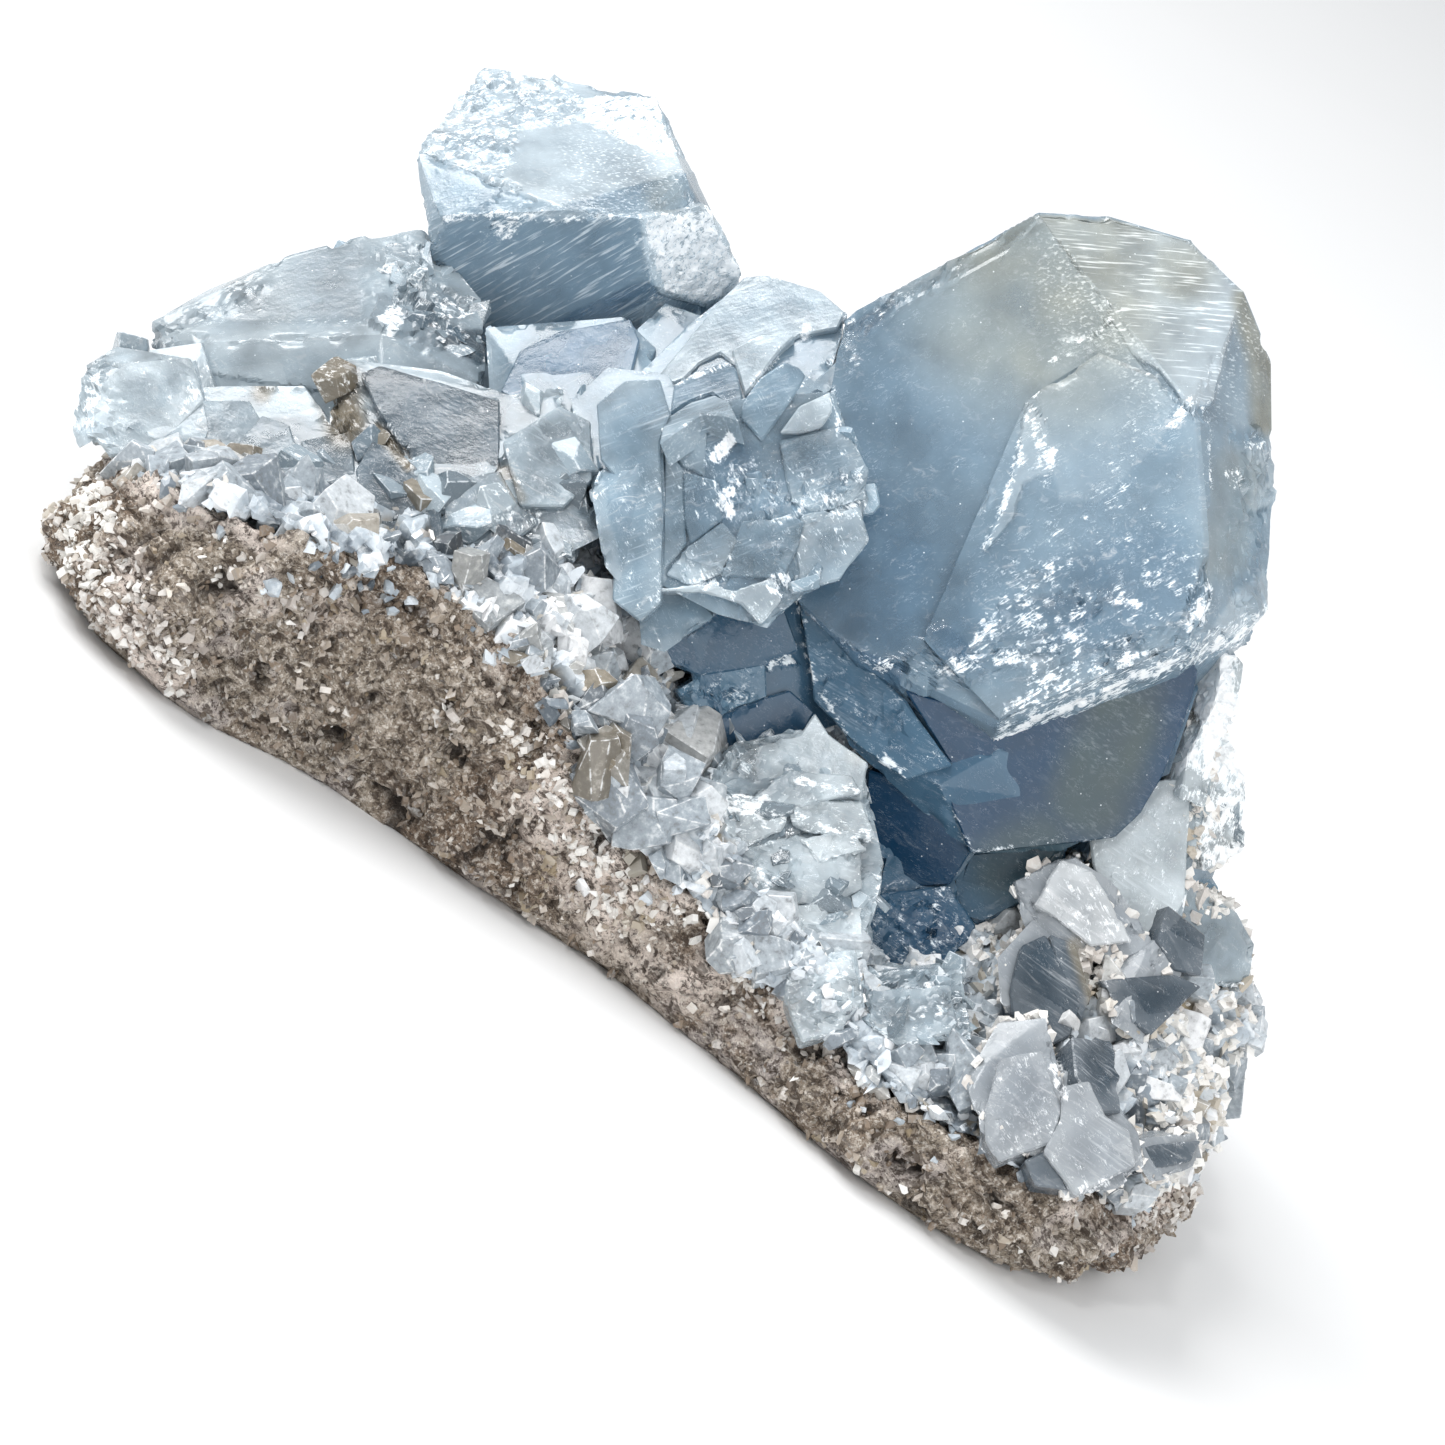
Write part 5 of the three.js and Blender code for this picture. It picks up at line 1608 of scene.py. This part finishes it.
def drusePiece(plan):
    draw = np.random.default_rng(plan["seed"])
    onCrust = plan["on"] == "crust"
    base = {"crust": crust, "rock": rock, **bodies}[plan["on"]]

    def weigh(points, normals):
        spots = picturePlace(points)
        front = normals @ sight < 0
        drawn = strokes(spots, plan["where"]) * (1 - strokes(spots, bareSpots))
        chance = np.where(front, drawn, plan["elsewhere"])
        return chance * (points[:, 2] > 0.6) + 1e-9

    places, ways, _ = placesOn(base, plan["count"] * 2, draw, weigh)
    low, high, bias = plan["sizes"]
    sizes = low + (high - low) * draw.random(len(places)) ** bias
    keep = clearance(places, crystalTree) > -0.1 * sizes
    if onCrust:
        # the crust's inner side faces the rock
        for index, (place, way) in enumerate(zip(places * mm, ways)):
            nearest = rockTree.find_nearest(Vector(place))[0]
            keep[index] &= (Vector(place) - nearest).dot(Vector(way)) >= 0
    if "margin" in plan:
        far, near = plan["margin"]
        keep &= fade(clearance(places, crustTree), far, near) > draw.random(len(places))
    elif plan["on"] == "rock":
        keep &= clearance(places, crustTree) > 0.5
    keep &= places[:, 2] > sizes * 0.4
    places, ways, sizes = (values[keep][: plan["count"]] for values in (places, ways, sizes))
    ways = ways + draw.normal(size=ways.shape) * plan["lean"]
    ways /= np.linalg.norm(ways, axis=1, keepdims=True)
    places = places + ways * (sizes * plan["sink"])[:, None]
    shapes = []
    for index in range(8):
        stretch = [draw.uniform(*side) for side in plan["stretch"]]
        shapes.append(chipShape(plan["seed"] + index, stretch, plan["cuts"], plan["rim"]))
    low, high = plan["tone"]
    patches = rough(places, 6.0, plan["seed"] + 5, 3)
    spots = picturePlace(places)
    drawn = 0.4 * strokes(spots, paleSpots) - 0.55 * strokes(spots, dimSpots)
    tones = np.clip(low + (high - low) * draw.random(len(places)) + patches * 0.2 + drawn, 0, 1)
    stains = fade(rough(places, 5.0, plan["seed"] + 7, 3), 0.3, 0.7) * 0.7
    finish = grainFinish(plan["title"], plan["tints"], plan["clear"])
    marks = {"tone": tones, "stain": stains}
    return strewn(plan["title"], shapes, places, ways, sizes, marks, finish)


# Broken plates and splinters that stand on the crystals, in the same terms; shade and frost are their ranges
shardHabit = {"slot": "pale_celestite", "cuts": 5, "lean": 0.3, "sink": -0.14, "elsewhere": 0.5, "where": []}
shardPlans = [
    {
        "title": "fractured_plates", "node": "fractured_crystals", "count": 170, "sizes": (1.0, 3.6, 1.6),
        "seed": 601, "sink": -0.10, "stretch": ((0.8, 1.1), (0.6, 0.9), (0.25, 0.45)), "rim": 0.018,
        "elsewhere": 0.6, "shade": (-0.35, 0.45), "frost": (0.0, 0.7),
        "where": [(140, 1.0, [(740, 800), (800, 900)]), (70, 1.0, [(860, 1000), (960, 1000)])],
    },
    {
        "title": "left_plates", "node": "left_crystal", "count": 70, "sizes": (1.0, 3.4, 1.4), "seed": 641,
        "sink": -0.12, "stretch": ((0.7, 1.0), (0.5, 0.9), (0.25, 0.4)), "rim": 0.02, "elsewhere": 0.05,
        "shade": (-0.3, 0.5), "frost": (0.0, 0.8),
        "where": [(36, 1.0, [(400, 260), (440, 320)]), (20, 0.6, [(470, 345)])],
    },
    {
        "title": "end_blocks", "node": "end_crystals", "count": 70, "sizes": (1.6, 5.6, 1.5), "seed": 661,
        "lean": 0.4, "sink": -0.22, "stretch": ((0.7, 1.1), (0.6, 1.0), (0.5, 0.8)), "rim": 0.016,
        "shade": (-0.3, 0.4), "frost": (0.0, 0.5),
        "where": [
            (30, 0.4, [(90, 420), (110, 480)]), (60, 1.0, [(330, 480), (420, 520), (540, 480)]),
            (20, 0.3, [(420, 420)]),
        ],
    },
    {
        "title": "centre_plates", "node": "centre_crystals", "slot": "celestite", "count": 110,
        "sizes": (0.8, 3.0, 1.6), "seed": 681, "stretch": ((0.8, 1.1), (0.6, 0.9), (0.25, 0.4)),
        "rim": 0.018, "elsewhere": 0.25, "shade": (-0.3, 0.4), "frost": (0.0, 0.7),
        "where": [
            (30, 1.0, [(740, 490), (800, 500), (850, 490)]), (16, 0.6, [(640, 480), (640, 600)]),
            (16, 0.6, [(690, 575), (780, 575)]),
        ],
    },
    {
        "title": "rear_blocks", "node": "rear_crystals", "slot": "celestite", "count": 220,
        "sizes": (1.4, 7.0, 1.7), "seed": 701, "lean": 0.35, "sink": -0.26,
        "stretch": ((0.7, 1.0), (0.6, 0.9), (0.6, 1.2)), "cuts": 3, "rim": 0.016, "elsewhere": 1.0,
        "shade": (-0.6, 0.4), "frost": (0.0, 0.6),
    },
    {
        "title": "right_splinters", "node": "right_crystals", "count": 150, "sizes": (0.6, 2.2, 1.6),
        "seed": 721, "lean": 0.4, "stretch": ((0.7, 1.0), (0.5, 0.9), (0.2, 0.5)), "cuts": 6, "rim": 0.03,
        "shade": (-0.8, 0.2), "frost": (0.1, 0.9),
        "where": [(34, 1.0, [(1215, 680), (1225, 860)])],
    },
]


def shardPiece(plan):
    draw = np.random.default_rng(plan["seed"])

    def weigh(points, normals):
        front = normals @ sight < 0
        drawn = strokes(picturePlace(points), plan["where"])
        return np.where(front, drawn, plan["elsewhere"]) * (points[:, 2] > 1.0) + 1e-9

    places, ways, vertices = placesOn(bodies[plan["node"]], plan["count"] * 2, draw, weigh)
    low, high, bias = plan["sizes"]
    sizes = low + (high - low) * draw.random(len(places)) ** bias
    others = treeOf([other["node"] for other in crystalPlans if other["node"] != plan["node"]])
    keep = (clearance(places, others) > 0.25 * sizes) & (places[:, 2] > sizes * 0.5)
    found = (places, ways, sizes, vertices)
    places, ways, sizes, vertices = (values[keep][: plan["count"]] for values in found)
    ways = ways + draw.normal(size=ways.shape) * plan["lean"]
    ways /= np.linalg.norm(ways, axis=1, keepdims=True)
    places = places + ways * (sizes * plan["sink"])[:, None]
    shapes = []
    for index in range(10):
        stretch = [draw.uniform(*side) for side in plan["stretch"]]
        shapes.append(chipShape(plan["seed"] + index, stretch, plan["cuts"], plan["rim"]))
    ground = bodies[plan["node"]].data
    marks = {name: readMark(ground, name)[vertices] for name in ("stain", "shade", "frost")}
    marks["shade"] += draw.uniform(*plan["shade"], len(places))
    marks["frost"] = np.maximum(marks["frost"] * 0.6, draw.uniform(*plan["frost"], len(places)))
    marks["cloud"] = draw.uniform(-0.5, 1.0, len(places))
    finish = crystalFinish(plan["title"], crystalLooks[plan["slot"]])
    return strewn(plan["title"], shapes, places, ways, sizes, marks, finish)


def studio():
    form = bmesh.new()
    bmesh.ops.create_grid(form, x_segments=1, y_segments=1, size=3.0)
    mesh = bpy.data.meshes.new("floor")
    form.to_mesh(mesh)
    form.free()
    floor = bpy.data.objects.new("floor", mesh)
    scene.collection.objects.link(floor)
    finish = Finish("floor")
    mottle = finish.noise(finish.place, 60.0, 2.0)
    tint = finish.mix(mottle, (0.80, 0.80, 0.80), (0.82, 0.82, 0.82))
    mesh.materials.append(finish.done(finish.principled(Base_Color=tint, Roughness=0.9)))
    world = bpy.data.worlds.new("studio")
    world.use_nodes = True
    background = world.node_tree.nodes["Background"]
    background.inputs["Color"].default_value = (0.96, 0.98, 1.0, 1.0)
    background.inputs["Strength"].default_value = 0.74
    scene.world = world
    lamps = [
        # name, place, size and power
        ("key", (-0.50, 0.02, 0.58), 0.45, 5.2),
        ("fill", (0.40, -0.55, 0.35), 0.60, 2.2),
        ("glint", (-0.25, -0.50, 0.70), 0.08, 1.0),
    ]
    for name, place, size, power in lamps:
        data = bpy.data.lights.new(name, "AREA")
        data.size = size
        data.energy = power
        lamp = bpy.data.objects.new(name, data)
        lamp.location = place
        aim = Vector(cameraView["target"]) - Vector(place)
        lamp.rotation_euler = aim.to_track_quat("-Z", "Y").to_euler()
        scene.collection.objects.link(lamp)
    scene.view_settings.view_transform = "Standard"


makeCamera()
studio()
print("camera and studio ready")
crystalTree = treeOf([plan["node"] for plan in crystalPlans])
crustTree = treeOf(["crystal_crust"])
rockTree = treeOf(["matrix"])
rock = rockPiece()
crust = crustPiece()
bodies = {}
for plan in crystalPlans:
    crystalPiece({**crystalHabit, **plan})
print("crystals ready")
for plan in crystalPlans:
    if "plates" in plan:
        platesPiece({**crystalHabit, **plan})
for plan in shardPlans:
    shardPiece({**shardHabit, **plan})
for plan in drusePlans:
    drusePiece({**druseHabit, **plan})
print("pieces ready")
